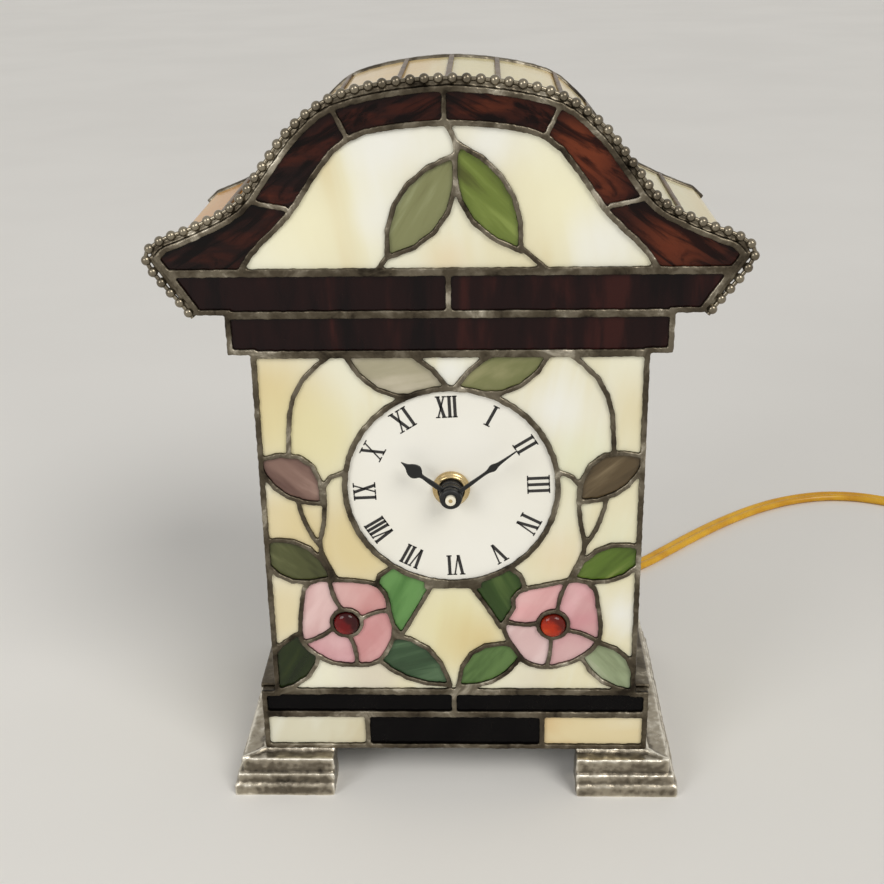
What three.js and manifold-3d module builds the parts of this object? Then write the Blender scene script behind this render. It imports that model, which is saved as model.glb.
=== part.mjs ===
// Clock lamp: a leaded glass mantel clock case with a quartz movement and a small lamp inside.
// Millimetres, +Z up. The front faces -Y, and the front face of the glass is drawn at y = 0.
// The finished group is shifted so that the origin is the middle of the object's footprint.

import * as THREE from 'three';
import { mergeVertices } from 'three/addons/utils/BufferGeometryUtils.js';
import Module from 'manifold-3d';

const wasm = await Module();
wasm.setup();

// Clearances
const fitGap = 0.3; // between pieces that are cut or turned to fit each other
const kerf = 0.6; // between neighbouring pieces of glass

// Glass and solder
const glassThickness = 3;
const leadHeight = 1.3; // solder that stands proud of the glass
const leadWidth = 1.7;
const rimWidth = 2; // solder along the panel's edge
const rowWidth = 2.8; // solder between the panel's rows
const glassMargin = 0.6; // from the panel's edge to the glass under the rim
const sideSteps = 5; // straight steps in a curved side

// Front panel, from the bottom up
const panelBottom = 17;
const plinthHalf = 75.7;
const plinthCentreHalf = 34.5;
const plinthRowTop = 33;
const plinthTop = 43.5;
const bodyHalfBottom = 70.4;
const bodyHalfTop = 70;
const bodyTop = 183;
const friezeHalf = 78;
const friezeTop = 197.5;
const bandHalf = 87.5;
const bandTop = 212.5;
const tipHalf = 101;
const tipHeight = 218;
const archTop = 274.4;

// Case behind the front panel
const caseDepth = 95;
const backRimDepth = 3;
const backRimWidth = 5;
const roofDrop = 2; // from the front panel's edge down to the roof glass
const roofStrips = 12;
const seamHeight = 0.9;
const seamWidth = 1.8;
const beadRadius = 1.8;
const beadNeck = 0.75;
const beadPitch = 4.6;
const beadSetback = 0.8;

// Feet: each step's flare as a share of the whole flare, and its top
const footSideFlare = 12.3;
const footFrontFlare = 9;
const footReturn = 40; // length of the moulding across the front and the back
const footWall = 9; // from the case's outside to the foot's inner face
const footReturnDepth = 6;
const footSteps = [
  { flare: 1, height: 4.6 },
  { flare: 0.88, height: 9.2 },
  { flare: 0.62, height: 10.6 },
  { flare: 0.72, height: 15.4 },
  { flare: 0.1, height: panelBottom },
];

// Base plate
const baseThickness = 1.2;
const baseFlangeEdge = 3; // metal left above the hole for the strain relief
const baseFlangeThickness = 1.5;

// Dial and movement
const dialRadius = 38; // white face inside its solder ring
const dialLip = 1.2; // edge of the dial under the ring
const dialThickness = 2.5;
const dialHeight = 131;
const movementSize = 56;
const movementDepth = 16;
const movementWall = 1.5;
const movementCorner = 2.2; // cut off each corner of the movement's case
const batteryBayTop = -11;
const chamberBottom = -9.5;
const bushRadius = 4.4;
const bushLength = 5;
const nutRadius = 6.9;
const nutThickness = 2.8;
const arborRadius = 1.9;
const pipeWall = 0.8;
const arborReach = 11.3; // arbor tip in front of the dial
const pipeReach = 7.6;
const gearModule = 0.5;
const gearWidth = 1.8;
const hourGearSetback = 2.6; // behind the movement's front face
const minuteGearSetback = 5.6;
const minuteTeeth = 10;
const settingTeeth = 30;
const settingPinionTeeth = 8;
const hourTeeth = 32;
const settingShaftRadius = 2;
const knobRadius = 6;
const knobLength = 6;
const batteryEndGap = 1.5; // springs and contacts at each end of the cell
const batterySideGap = 0.75;

// Hands, set at about eight minutes past ten, in degrees clockwise from twelve
const minuteHandAngle = 52.3;
const hourHandAngle = 307.3;
const minuteHandLength = 29.7;
const hourHandLength = 22.1;
const handThickness = 0.8;
const hourBossRadius = 4.3;
const minuteBossRadius = 4;
const hourHandFront = 7.4; // in front of the dial
const minuteHandFront = 8.9;
const minuteBossRise = 1.5; // boss in front of the hand
const minuteBossLength = 2.5;

// Lamp
const lampSetback = 58; // from the front panel
const bracketFlangeRadius = 14;
const bracketFlangeThickness = 2;
const bracketPipeRadius = 5;
const socketBottom = 48;
const socketRadius = 13;
const socketLength = 36;
const socketFloor = 4;
const bulbBaseRadius = 6;
const bulbRadius = 17.5;
const bulbLength = 82;

// Cord, a flat twin lead
const cordWidth = 7.4;
const cordThickness = 3.7;
const cordRest = cordThickness / 2 + 0.1; // height of its middle on the table
const reliefX = 40;
const reliefLength = 28;
const reliefCollarRadius = 7.2;
const reliefCollarThickness = 2.5;
const reliefGripRadius = 6;
const reliefGripLength = 3;

// Switch in the cord
const switchLength = 58;
const switchWidth = 24;
const switchHeight = 14;
const switchEndWidth = 12;
const rockerWindow = 16.6;
const rockerWidth = 9.4;
const rockerPivotHeight = 9;
const rockerTilt = 10; // degrees from level, off at rest

// Coil of the spare cord, wound inwards on the table and outwards on top
const coilOuterRadius = 54;
const coilPitch = 8.1;
const coilLayer = 4.4;
const coilLeadIn = 38;
const coilInTurns = 3;
const coilOutTurns = 1.65;
const coilReverseStep = 1.1; // pitches gained in the half turn after the climb
const coilSteps = 24;
const coilTail = 38; // straight end that carries the plug clear of the turns

// Plug
const plugLength = 34;
const plugWidth = 23;
const plugHeight = 12;
const bladeLength = 17;
const bladeWidth = 6.3;
const bladeThickness = 1.5;
const bladeSpacing = 12.7;

// Sizes that follow from those above
const bodyHalfAt = (z) => THREE.MathUtils.mapLinear(z, plinthTop, bodyTop, bodyHalfBottom, bodyHalfTop);
const backRimFront = caseDepth - backRimDepth;
const dialDiscRadius = dialRadius + dialLip;
const movementFront = dialThickness;
const movementBack = movementFront + movementDepth;
const pipeBore = arborRadius + fitGap;
const pipeRadius = pipeBore + pipeWall;
const bushBore = pipeRadius + fitGap;
const gearDistance = (gearModule * (minuteTeeth + settingTeeth)) / 2;
const footRear = caseDepth + footFrontFlare;
const baseTop = panelBottom + baseThickness;
const reliefHeight = panelBottom + backRimWidth + reliefCollarRadius + 0.8;
const baseFlangeTop = reliefHeight + reliefGripRadius + baseFlangeEdge;
const switchEntryHeight = switchHeight / 2;
const originShift = (arborReach - footRear) / 2;

// Materials, by what they are made of
const materials = {
  lead: { color: 0x6e685c, roughness: 0.45, metalness: 0.9 },
  pewter: { color: 0x968c7d, roughness: 0.35, metalness: 0.9 },
  cream: { color: 0xece6c8, roughness: 0.25, metalness: 0 },
  amber: { color: 0x3c1912, roughness: 0.2, metalness: 0 },
  black: { color: 0x0b090a, roughness: 0.15, metalness: 0 },
  sage: { color: 0x82967a, roughness: 0.25, metalness: 0 },
  green: { color: 0x466e32, roughness: 0.25, metalness: 0 },
  bottle: { color: 0x284b3c, roughness: 0.25, metalness: 0 },
  plum: { color: 0x7d6462, roughness: 0.25, metalness: 0 },
  brown: { color: 0x50443a, roughness: 0.25, metalness: 0 },
  pink: { color: 0xdca5aa, roughness: 0.25, metalness: 0 },
  ruby: { color: 0x6e0a0f, roughness: 0.1, metalness: 0 },
  orange: { color: 0xaa320f, roughness: 0.1, metalness: 0 },
  white: { color: 0xf5f3e8, roughness: 0.35, metalness: 0 },
  blackPaint: { color: 0x111111, roughness: 0.5, metalness: 0 },
  brass: { color: 0xbe9650, roughness: 0.3, metalness: 1 },
  steel: { color: 0xb0b0ac, roughness: 0.4, metalness: 1 },
  blackPlastic: { color: 0x1c1c1e, roughness: 0.6, metalness: 0 },
  creamPlastic: { color: 0xe8e2cc, roughness: 0.5, metalness: 0 },
  bulbGlass: { color: 0xf4f0e2, roughness: 0.1, metalness: 0 },
  cell: { color: 0x3a3a40, roughness: 0.4, metalness: 0.4 },
  goldCord: { color: 0xcd9628, roughness: 0.4, metalness: 0 },
};

const lamp = new THREE.Group();
lamp.position.y = originShift;

// Solids and meshes

function solidOf(geometry) {
  const bare = geometry.clone();
  bare.deleteAttribute('normal');
  bare.deleteAttribute('uv');
  const merged = mergeVertices(bare, 1e-4);
  return new wasm.Manifold(
    new wasm.Mesh({
      numProp: 3,
      vertProperties: new Float32Array(merged.attributes.position.array),
      triVerts: new Uint32Array(merged.index.array),
    }),
  );
}

function geometryOf(solid) {
  const { vertProperties, triVerts } = solid.getMesh();
  const geometry = new THREE.BufferGeometry();
  geometry.setAttribute('position', new THREE.BufferAttribute(vertProperties, 3));
  geometry.setIndex(new THREE.BufferAttribute(triVerts, 1));
  geometry.computeVertexNormals();
  return geometry;
}

function addPiece(name, shape, material, parent = lamp) {
  const geometry = shape.isBufferGeometry ? shape : geometryOf(shape);
  const mesh = new THREE.Mesh(geometry, new THREE.MeshStandardMaterial(materials[material]));
  mesh.name = name;
  parent.add(mesh);
  return mesh;
}

const join = (solids) => solids.reduce((whole, solid) => whole.add(solid));

// A flat outline in x and z, extruded back from yFront
function slab(outline, yFront, thickness, holes = []) {
  const shape = new THREE.Shape(outline);
  shape.holes = holes.map((hole) => new THREE.Path(hole));
  const geometry = new THREE.ExtrudeGeometry(shape, { depth: thickness, bevelEnabled: false });
  geometry.rotateX(Math.PI / 2);
  geometry.translate(0, yFront + thickness, 0);
  return solidOf(geometry);
}

// A flat outline in x and y, extruded up from zBottom
function block(outline, zBottom, height) {
  const shape = new THREE.Shape(outline);
  const geometry = new THREE.ExtrudeGeometry(shape, { depth: height, bevelEnabled: false });
  geometry.translate(0, 0, zBottom);
  return solidOf(geometry);
}

// A profile of [radius, distance] pairs turned about an axis along +Y
function turnedAlongY(profile, segments = 24) {
  const geometry = new THREE.LatheGeometry(profile.map(([r, d]) => new THREE.Vector2(r, d)), segments);
  return solidOf(geometry);
}

// The same, standing up along +Z
function turnedAlongZ(profile, segments = 24) {
  const geometry = new THREE.LatheGeometry(profile.map(([r, d]) => new THREE.Vector2(r, d)), segments);
  geometry.rotateX(Math.PI / 2);
  return solidOf(geometry);
}

const vec = (x, z) => new THREE.Vector2(x, z);
const mirrored = (points) => points.map((p) => vec(-p.x, p.y)).reverse();
const rectangle = (x0, z0, x1, z1) => [vec(x0, z0), vec(x1, z0), vec(x1, z1), vec(x0, z1)];

function circle(centre, radius, segments = 40) {
  return Array.from({ length: segments }, (_, i) => {
    const angle = (i / segments) * 2 * Math.PI;
    return vec(centre.x + radius * Math.cos(angle), centre.y + radius * Math.sin(angle));
  });
}

// A path moved sideways, to the left of its direction for a positive distance
function offsetPath(points, distance, closed = false) {
  const last = points.length - 1;
  return points.map((point, i) => {
    const before = i > 0 ? points[i - 1] : closed ? points[last] : null;
    const after = i < last ? points[i + 1] : closed ? points[0] : null;
    const into = before ? point.clone().sub(before).normalize() : after.clone().sub(point).normalize();
    const out = after ? after.clone().sub(point).normalize() : into.clone();
    const along = into.clone().add(out).normalize();
    const normal = vec(-along.y, along.x);
    const spread = Math.max(normal.dot(vec(-into.y, into.x)), 0.3);
    return point.clone().addScaledVector(normal, distance / spread);
  });
}

// A path made longer at both ends
function stretched(points, extra) {
  const last = points.length - 1;
  const grow = (end, next) => end.clone().addScaledVector(end.clone().sub(next).normalize(), extra);
  return [grow(points[0], points[1]), ...points.slice(1, last), grow(points[last], points[last - 1])];
}

// A bowed line from a to b, standing off its chord by bow to the left
function bowed(a, b, bow) {
  const chord = b.clone().sub(a);
  const left = vec(-chord.y, chord.x).normalize();
  return Array.from({ length: sideSteps + 1 }, (_, i) => {
    const t = i / sideSteps;
    return a.clone().addScaledVector(chord, t).addScaledVector(left, 4 * bow * t * (1 - t));
  });
}

const curveThrough = (points, steps) => new THREE.SplineCurve(points).getSpacedPoints(steps);

function closedCurveThrough(points, steps) {
  const curve = new THREE.CatmullRomCurve3(points.map((p) => new THREE.Vector3(p.x, p.y, 0)), true);
  return curve.getSpacedPoints(steps).slice(0, -1).map((p) => vec(p.x, p.y));
}

// A tube of any section along points in space. sections[i] lists [side, up] offsets.
function sweep(points, sections, up) {
  const sides = sections[0].length;
  const positions = [];
  const indices = [];
  points.forEach((point, i) => {
    const ahead = points[Math.min(i + 1, points.length - 1)];
    const behind = points[Math.max(i - 1, 0)];
    const tangent = ahead.clone().sub(behind).normalize();
    const side = new THREE.Vector3().crossVectors(up, tangent).normalize();
    const rise = new THREE.Vector3().crossVectors(tangent, side);
    for (const [a, b] of sections[i]) {
      positions.push(...point.clone().addScaledVector(side, a).addScaledVector(rise, b).toArray());
    }
  });
  for (let ring = 0; ring < points.length - 1; ring += 1) {
    for (let k = 0; k < sides; k += 1) {
      const a = ring * sides + k;
      const b = ring * sides + ((k + 1) % sides);
      indices.push(a, b, a + sides, b, b + sides, a + sides);
    }
  }
  const lastRing = (points.length - 1) * sides;
  for (let k = 1; k < sides - 1; k += 1) {
    indices.push(0, k + 1, k);
    indices.push(lastRing, lastRing + k, lastRing + k + 1);
  }
  const geometry = new THREE.BufferGeometry();
  geometry.setAttribute('position', new THREE.Float32BufferAttribute(positions, 3));
  geometry.setIndex(indices);
  geometry.computeVertexNormals();
  return geometry;
}

const roundSection = (radius, sides) =>
  Array.from({ length: sides }, (_, k) => {
    const angle = (k / sides) * 2 * Math.PI;
    return [radius * Math.cos(angle), radius * Math.sin(angle)];
  });

// Flat lead with rounded edges
function flatSection(sides) {
  return roundSection(1, sides).map(([a, b]) => [(a * cordWidth) / 2, (b * cordThickness) / 2]);
}

// Outline of the front panel

const archSide = [
  vec(tipHalf, tipHeight),
  vec(0.964 * tipHalf, tipHeight + 0.065 * (archTop - tipHeight)),
  vec(0.85 * tipHalf, tipHeight + 0.145 * (archTop - tipHeight)),
  vec(0.695 * tipHalf, tipHeight + 0.29 * (archTop - tipHeight)),
  vec(0.6 * tipHalf, tipHeight + 0.5 * (archTop - tipHeight)),
  vec(0.49 * tipHalf, tipHeight + 0.74 * (archTop - tipHeight)),
  vec(0.34 * tipHalf, tipHeight + 0.915 * (archTop - tipHeight)),
];
const archPoints = [...archSide, vec(0, archTop), ...mirrored(archSide)];
const archSegments = 41; // an odd number, so that one lies flat at the top
const arch = curveThrough(archPoints, archSegments);
const bandCorner = vec(bandHalf, friezeTop);
const sideLine = [
  vec(plinthHalf, panelBottom),
  vec(plinthHalf, plinthTop),
  vec(bodyHalfBottom, plinthTop),
  vec(bodyHalfTop, bodyTop),
  vec(friezeHalf, bodyTop),
  vec(friezeHalf, friezeTop),
  bandCorner,
];
const panelOutline = [...sideLine, ...arch, ...mirrored(sideLine)];
const panelInset = (distance) => offsetPath(panelOutline, distance, true);

// Solder lines and glass of the front panel

const leadFront = -leadHeight;
const leadSolids = [];
const leadLine = (points, width = leadWidth) =>
  slab([...offsetPath(points, width / 2), ...offsetPath(points, -width / 2).reverse()], leadFront, leadHeight);

function leadRing(outline, outwards, inwards) {
  const outside = offsetPath(outline, -outwards, true);
  const inside = offsetPath(outline, inwards, true);
  return slab(outside, leadFront, leadHeight, [inside]);
}

const glassSheet = slab(panelInset(glassMargin), 0, glassThickness);
const farOut = 2 * tipHalf;

// The part of the glass sheet between two rows of solder
function glassRow(zLow, zHigh) {
  const low = zLow + kerf / 2;
  const high = zHigh - kerf / 2;
  return glassSheet.intersect(slab(rectangle(-farOut, low, farOut, high), 0, glassThickness));
}

// Cuts a row of glass into named pieces. Earlier pieces lie over later ones, and the rest is the ground.
// The pieces end inside cut, a little inside the ground's own edge, under the solder, and their own solder
// ends at the row's two solder lines.
function glaze(row, [zLow, zHigh], cut, cutEdge, openings, pieces) {
  const inRow = slab(rectangle(-farOut, zLow, farOut, zHigh), leadFront, leadHeight);
  let taken = openings;
  for (const piece of pieces) {
    const whole = slab(piece.outline, 0, glassThickness);
    const edge = piece.sides.map((side) => edgeCut(side));
    let glass = cut.intersect(whole);
    let lead = join(piece.sides.map((side) => leadLine(stretched(side, leadWidth / 3)))).intersect(inRow);
    if (taken) {
      glass = glass.subtract(taken);
      lead = lead.subtract(slabOver(taken));
    }
    addPiece(piece.name, join([glass.subtract(join(edge))]), piece.material);
    leadSolids.push(lead);
    const grown = join([whole, ...edge]).intersect(cutEdge);
    taken = taken ? taken.add(grown) : grown;
  }
  return row.subtract(taken);
}

// The gap that is cut along one side of a piece of glass
function edgeCut(side) {
  const cut = [...offsetPath(side, kerf / 2), ...offsetPath(side, -kerf / 2).reverse()];
  return slab(cut, 0, glassThickness);
}

// The same outline, moved forward to reach through the solder
function slabOver(solid) {
  const forward = new THREE.Matrix4().makeTranslation(0, -(glassThickness + leadHeight) / 2, 0);
  const geometry = geometryOf(solid);
  geometry.applyMatrix4(forward);
  return solidOf(geometry);
}

function leaf(name, material, base, tip, leftBow, rightBow) {
  const left = bowed(base, tip, leftBow);
  const right = bowed(base, tip, -rightBow);
  return { name, material, outline: [...right, ...left.slice(1, -1).reverse()], sides: [left, right] };
}

// A leaf that comes out from under the dial, drawn by its two sides down to the tip
function dialLeaf(name, material, left, right) {
  const sides = [curveThrough(left, sideSteps + 3), curveThrough(right, sideSteps + 3)];
  return { name, material, outline: [...sides[0], ...sides[1].slice(0, -1).reverse()], sides };
}

// Points drawn on the body panel: x from its middle line, and height above the plinth
const bodyDrawnHalf = 71.5;
const bodyDrawnHeight = 139.5;
function onBody(x, height) {
  const z = plinthTop + (height * (bodyTop - plinthTop)) / bodyDrawnHeight;
  return vec((x * bodyHalfAt(z)) / bodyDrawnHalf, z);
}
const underTop = (x, depth) => onBody(x, bodyDrawnHeight - depth);

// Points drawn on the pediment: x from its middle line, and height above the band
const pedimentDrawnHalf = 100;
const pedimentDrawnHeight = 61.9;
function onPediment(x, height) {
  return vec((x * tipHalf) / pedimentDrawnHalf, bandTop + (height * (archTop - bandTop)) / pedimentDrawnHeight);
}

// Plinth, frieze and band

const rowLines = [plinthRowTop, plinthTop, bodyTop, friezeTop, bandTop];
leadSolids.push(slab(panelOutline, leadFront, leadHeight, [panelInset(rimWidth)]));
for (const z of rowLines) {
  leadSolids.push(leadLine([vec(-farOut, z), vec(farOut, z)], rowWidth));
}
for (const side of [-1, 1]) {
  const x = side * plinthCentreHalf;
  leadSolids.push(leadLine([vec(x, panelBottom), vec(x, plinthRowTop)], rimWidth));
}
leadSolids.push(leadLine([vec(0, plinthRowTop), vec(0, plinthTop)], rimWidth));
leadSolids.push(leadLine([vec(0, friezeTop), vec(0, bandTop)], rimWidth));

const plinthRow = glassRow(panelBottom, plinthRowTop);
const plinthEdge = plinthCentreHalf + kerf / 2;
const plinthCentre = plinthCentreHalf - kerf / 2;
const centreColumn = rectangle(-plinthCentre, panelBottom, plinthCentre, plinthTop - kerf);
const plinthBlack = glassRow(plinthRowTop, plinthTop).add(
  glassSheet.intersect(slab(centreColumn, 0, glassThickness)),
);
const leftEnd = slab(rectangle(-farOut, 0, -plinthEdge, bodyTop), 0, glassThickness);
const rightEnd = slab(rectangle(plinthEdge, 0, farOut, bodyTop), 0, glassThickness);
addPiece('plinth_black_glass', plinthBlack, 'black');
addPiece('plinth_cream_left', plinthRow.intersect(leftEnd), 'cream');
addPiece('plinth_cream_right', plinthRow.intersect(rightEnd), 'cream');
addPiece('frieze_glass', glassRow(bodyTop, friezeTop), 'amber');
addPiece('pediment_band_glass', glassRow(friezeTop, bandTop), 'amber');

// Pediment: a border of amber strips round a cream field with two leaves

const borderSide = [
  onPediment(71, 0),
  onPediment(65.5, 8),
  onPediment(53.5, 19.5),
  onPediment(45, 31.5),
  onPediment(35.5, 43),
  onPediment(24, 47.9),
];
const borderSteps = 28;
const borderLine = curveThrough([...borderSide, onPediment(0, 50.1), ...mirrored(borderSide)], borderSteps);
const pedimentRow = glassRow(bandTop, farOut + archTop);
const field = slab(borderLine, 0, glassThickness);
addPiece('pediment_border_glass', pedimentRow.subtract(field).subtract(edgeCut(borderLine)), 'amber');
leadSolids.push(leadLine(borderLine, rimWidth));
for (const side of [-1, 1]) {
  leadSolids.push(leadLine([onPediment(side * 53.4, 22.1), onPediment(side * 65.5, 24.6)]));
  leadSolids.push(leadLine([onPediment(side * 32.6, 46), onPediment(side * 37.6, 56.5)]));
}
leadSolids.push(leadLine([onPediment(-0.6, 49), onPediment(-0.6, 61)]));
leadSolids.push(leadLine(bowed(onPediment(-0.3, 50), onPediment(3.6, 40), 0.8)));
leadSolids.push(leadLine([onPediment(-20.3, 5.5), onPediment(-25.4, -1)]));
leadSolids.push(leadLine([onPediment(24.3, 8.5), onPediment(35, -1)]));

const pedimentField = pedimentRow.intersect(field).subtract(edgeCut(borderLine));
const pedimentSpan = [bandTop, archTop];
const pedimentGround = glaze(pedimentField, pedimentSpan, pedimentField, pedimentField, null, [
  leaf('pediment_leaf_left', 'sage', onPediment(2.6, 39.5), onPediment(-20.5, 5), 9, 8),
  leaf('pediment_leaf_right', 'green', onPediment(3.2, 43.5), onPediment(24.5, 7), 7.5, 9),
]);
addPiece('pediment_ground_glass', pedimentGround, 'cream');

// Body: a dial among leaves, with a flower at each lower corner

const dialCentre = vec(0, dialHeight);
const dialOpening = slab(circle(dialCentre, dialDiscRadius + fitGap), 0, glassThickness);
leadSolids.push(leadRing(circle(dialCentre, dialRadius), leadWidth + 0.3, 0));

const jewelRadius = 4.7;
const jewelRingWidth = 1.6;
const jewelDome = 2.2;
const seamLead = 1.6; // solder between petals and along twigs
const flowerSteps = 32;

const flowers = [
  {
    side: 'left',
    jewel: 'ruby',
    centre: onBody(-41.5, 31),
    rim: [
      onBody(-47.1, 49.6),
      onBody(-53, 49.3),
      onBody(-56.6, 47.2),
      onBody(-58.4, 40),
      onBody(-59.6, 30),
      onBody(-59.4, 22.6),
      onBody(-54.5, 17.4),
      onBody(-48.5, 13.3),
      onBody(-38, 12.1),
      onBody(-30.2, 13.3),
      onBody(-25.8, 19),
      onBody(-23, 27.5),
      onBody(-24.6, 35.8),
      onBody(-25.8, 43),
      onBody(-29, 47.4),
      onBody(-38.5, 49.4),
    ],
    seams: [
      onBody(-47.3, 49.4),
      onBody(-24.8, 36.4),
      onBody(-38.2, 12.2),
      onBody(-59, 22.2),
    ],
  },
  {
    side: 'right',
    jewel: 'orange',
    centre: onBody(38.7, 30.2),
    rim: [
      onBody(44, 49.2),
      onBody(35, 47.2),
      onBody(26.7, 45.3),
      onBody(23.2, 42.4),
      onBody(23.4, 37),
      onBody(19.9, 32),
      onBody(20, 26.5),
      onBody(24.4, 18.5),
      onBody(28.2, 13.5),
      onBody(36, 11.2),
      onBody(42.3, 12.4),
      onBody(49.2, 15.4),
      onBody(56.3, 22.6),
      onBody(57.1, 28.2),
      onBody(55.7, 39.4),
      onBody(54, 46.4),
      onBody(49.7, 49.3),
    ],
    seams: [
      onBody(44, 49),
      onBody(56.3, 22.8),
      onBody(36, 11.4),
      onBody(20.3, 31.6),
    ],
  },
];

let bodyTaken = dialOpening;
for (const flower of flowers) {
  const rim = closedCurveThrough(flower.rim, flowerSteps);
  const outline = THREE.ShapeUtils.isClockWise(rim) ? rim.reverse() : rim;
  const seat = circle(flower.centre, jewelRadius + fitGap, 16);
  const petals = slab(offsetPath(outline, kerf / 2, true), 0, glassThickness, [seat]);
  addPiece(`flower_${flower.side}`, petals, 'pink');
  leadSolids.push(leadRing(outline, leadWidth / 2, leadWidth / 2));
  leadSolids.push(leadRing(seat, jewelRingWidth, 0));
  for (const end of flower.seams) {
    const start = flower.centre.clone().lerp(end, (jewelRadius + jewelRingWidth) / flower.centre.distanceTo(end));
    leadSolids.push(leadLine(bowed(start, end, 0.8), seamLead));
  }
  const dome = new THREE.EllipseCurve(0, 0, jewelRadius, jewelDome, 0, Math.PI / 2).getPoints(5);
  const profile = [[0, -glassThickness], [jewelRadius, -glassThickness]];
  dome.forEach((p) => profile.push([p.x < 1e-6 ? 0 : p.x, leadHeight + p.y]));
  const jewel = turnedAlongZ(profile, 16);
  const stone = addPiece(`jewel_${flower.side}`, jewel, flower.jewel);
  stone.rotation.x = Math.PI / 2;
  stone.position.set(flower.centre.x, 0, flower.centre.y);
  bodyTaken = bodyTaken.add(slab(offsetPath(outline, -kerf / 2, true), 0, glassThickness));
}

// Inside of the solder round the body panel, where its leaves end
function bodyInside(lap) {
  const low = plinthTop + rowWidth / 2 - lap;
  const high = bodyTop - rowWidth / 2 + lap;
  const rows = slab(rectangle(-farOut, low, farOut, high), 0, glassThickness);
  return slab(panelInset(rimWidth - lap), 0, glassThickness).intersect(rows);
}

const leafLap = 0.4; // glass of the leaves under the solder
const bodyRow = glassRow(plinthTop, bodyTop);
const bodySpan = [plinthTop, bodyTop];
const bodyGround = glaze(bodyRow, bodySpan, bodyInside(leafLap), bodyInside(leafLap + kerf), bodyTaken, [
  leaf('top_leaf_left', 'sage', underTop(-38.5, -1), underTop(-0.5, 13), 7.5, 9.5),
  leaf('top_leaf_right', 'sage', underTop(36.5, -1), underTop(2, 12.5), 8.5, 6.5),
  leaf('plum_leaf_left', 'plum', onBody(-72, 99), onBody(-48.4, 81.5), 10.8, 5.5),
  leaf('plum_leaf_right', 'brown', onBody(72, 100), onBody(47.5, 82), 5.5, 10),
  dialLeaf('dial_leaf_left', 'green',
    [onBody(-20.5, 57), onBody(-24.5, 54), onBody(-28.6, 51), onBody(-29.4, 47.6), onBody(-26.5, 36), onBody(-20.4, 25.4)],
    [onBody(-5, 54), onBody(-8, 47.6), onBody(-12.4, 39.2), onBody(-17.2, 30.8), onBody(-20.4, 25.4)]),
  dialLeaf('dial_leaf_right', 'bottle',
    [onBody(4.5, 54), onBody(7.4, 46.8), onBody(11.2, 41), onBody(14.6, 35.6), onBody(18.4, 29.2)],
    [onBody(19, 57), onBody(23.5, 53.5), onBody(26.8, 50.2), onBody(27.2, 46.4), onBody(25, 37), onBody(18.4, 29.2)]),
  leaf('side_leaf_left', 'bottle', onBody(-75, 65), onBody(-46.3, 50.5), 7.8, 8.5),
  leaf('side_leaf_right', 'green', onBody(75, 62), onBody(45.6, 50.3), 6.5, 7.8),
  leaf('outer_leaf_left', 'bottle', onBody(-54, 28.5), onBody(-72, -0.5), 8.6, 8),
  leaf('outer_leaf_right', 'sage', onBody(48, 22.5), onBody(71, 0), 9, 5.5),
  leaf('inner_leaf_left', 'bottle', onBody(-36, 24), onBody(-1.5, 3), 10.2, 6.2),
  leaf('inner_leaf_right', 'green', onBody(28, 20.5), onBody(1.5, 2.5), 6, 9.5),
]);
addPiece('body_ground_glass', bodyGround, 'cream');

// Solder lines across the cream ground: the arcs over the dial, the stems and the bar under it
const overDial = slabOver(dialOpening);
for (const side of [-1, 1]) {
  const arc = [underTop(42.5, 0), underTop(52.5, 8.5), underTop(58.2, 20), onBody(59.9, 102)];
  const stem = [
    onBody(36, 95),
    onBody(43.8, 92.7),
    onBody(47.4, 89.2),
    onBody(47.5, 82),
    onBody(48.3, 73.4),
    onBody(50.2, 64.5),
    onBody(48.7, 58.4),
    onBody(44.4, 49.2),
  ];
  const twig = [onBody(57.8, 84), onBody(50.3, 64)];
  const across = (points) => points.map((p) => vec(side * p.x, p.y));
  leadSolids.push(leadLine(curveThrough(across(arc), 6)));
  leadSolids.push(leadLine(curveThrough(across(stem), 12)).subtract(overDial));
  leadSolids.push(leadLine(bowed(...across(twig), side * 1.3), seamLead));
}
leadSolids.push(leadLine([onBody(-11, 47.6), onBody(11, 47.6)], rowWidth));

const frontLeading = join(leadSolids).intersect(slab(panelOutline, 2 * leadFront, 3 * leadHeight));
addPiece('front_leading', frontLeading, 'lead');

// Side walls, roof and the solder frame round the open back

const wallDepth = backRimFront - glassThickness;
const roofLine = offsetPath([bandCorner, ...arch, vec(-bandHalf, friezeTop)], roofDrop);
const roofInside = offsetPath(roofLine, glassThickness);
const eave = vec(roofInside[0].x - 2 * fitGap, friezeTop); // the wall turns out here to meet the roof
const wallLine = offsetPath([...sideLine.slice(0, -1), eave], fitGap);
const wallInside = offsetPath(wallLine, glassThickness);

const rightWall = [...wallLine, ...wallInside.reverse()];
addPiece('side_glass_right', slab(rightWall, glassThickness, wallDepth), 'cream');
addPiece('side_glass_left', slab(mirrored(rightWall), glassThickness, wallDepth), 'cream');
addPiece('roof_glass', slab([...roofLine, ...roofInside.reverse()], glassThickness, wallDepth), 'cream');

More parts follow.
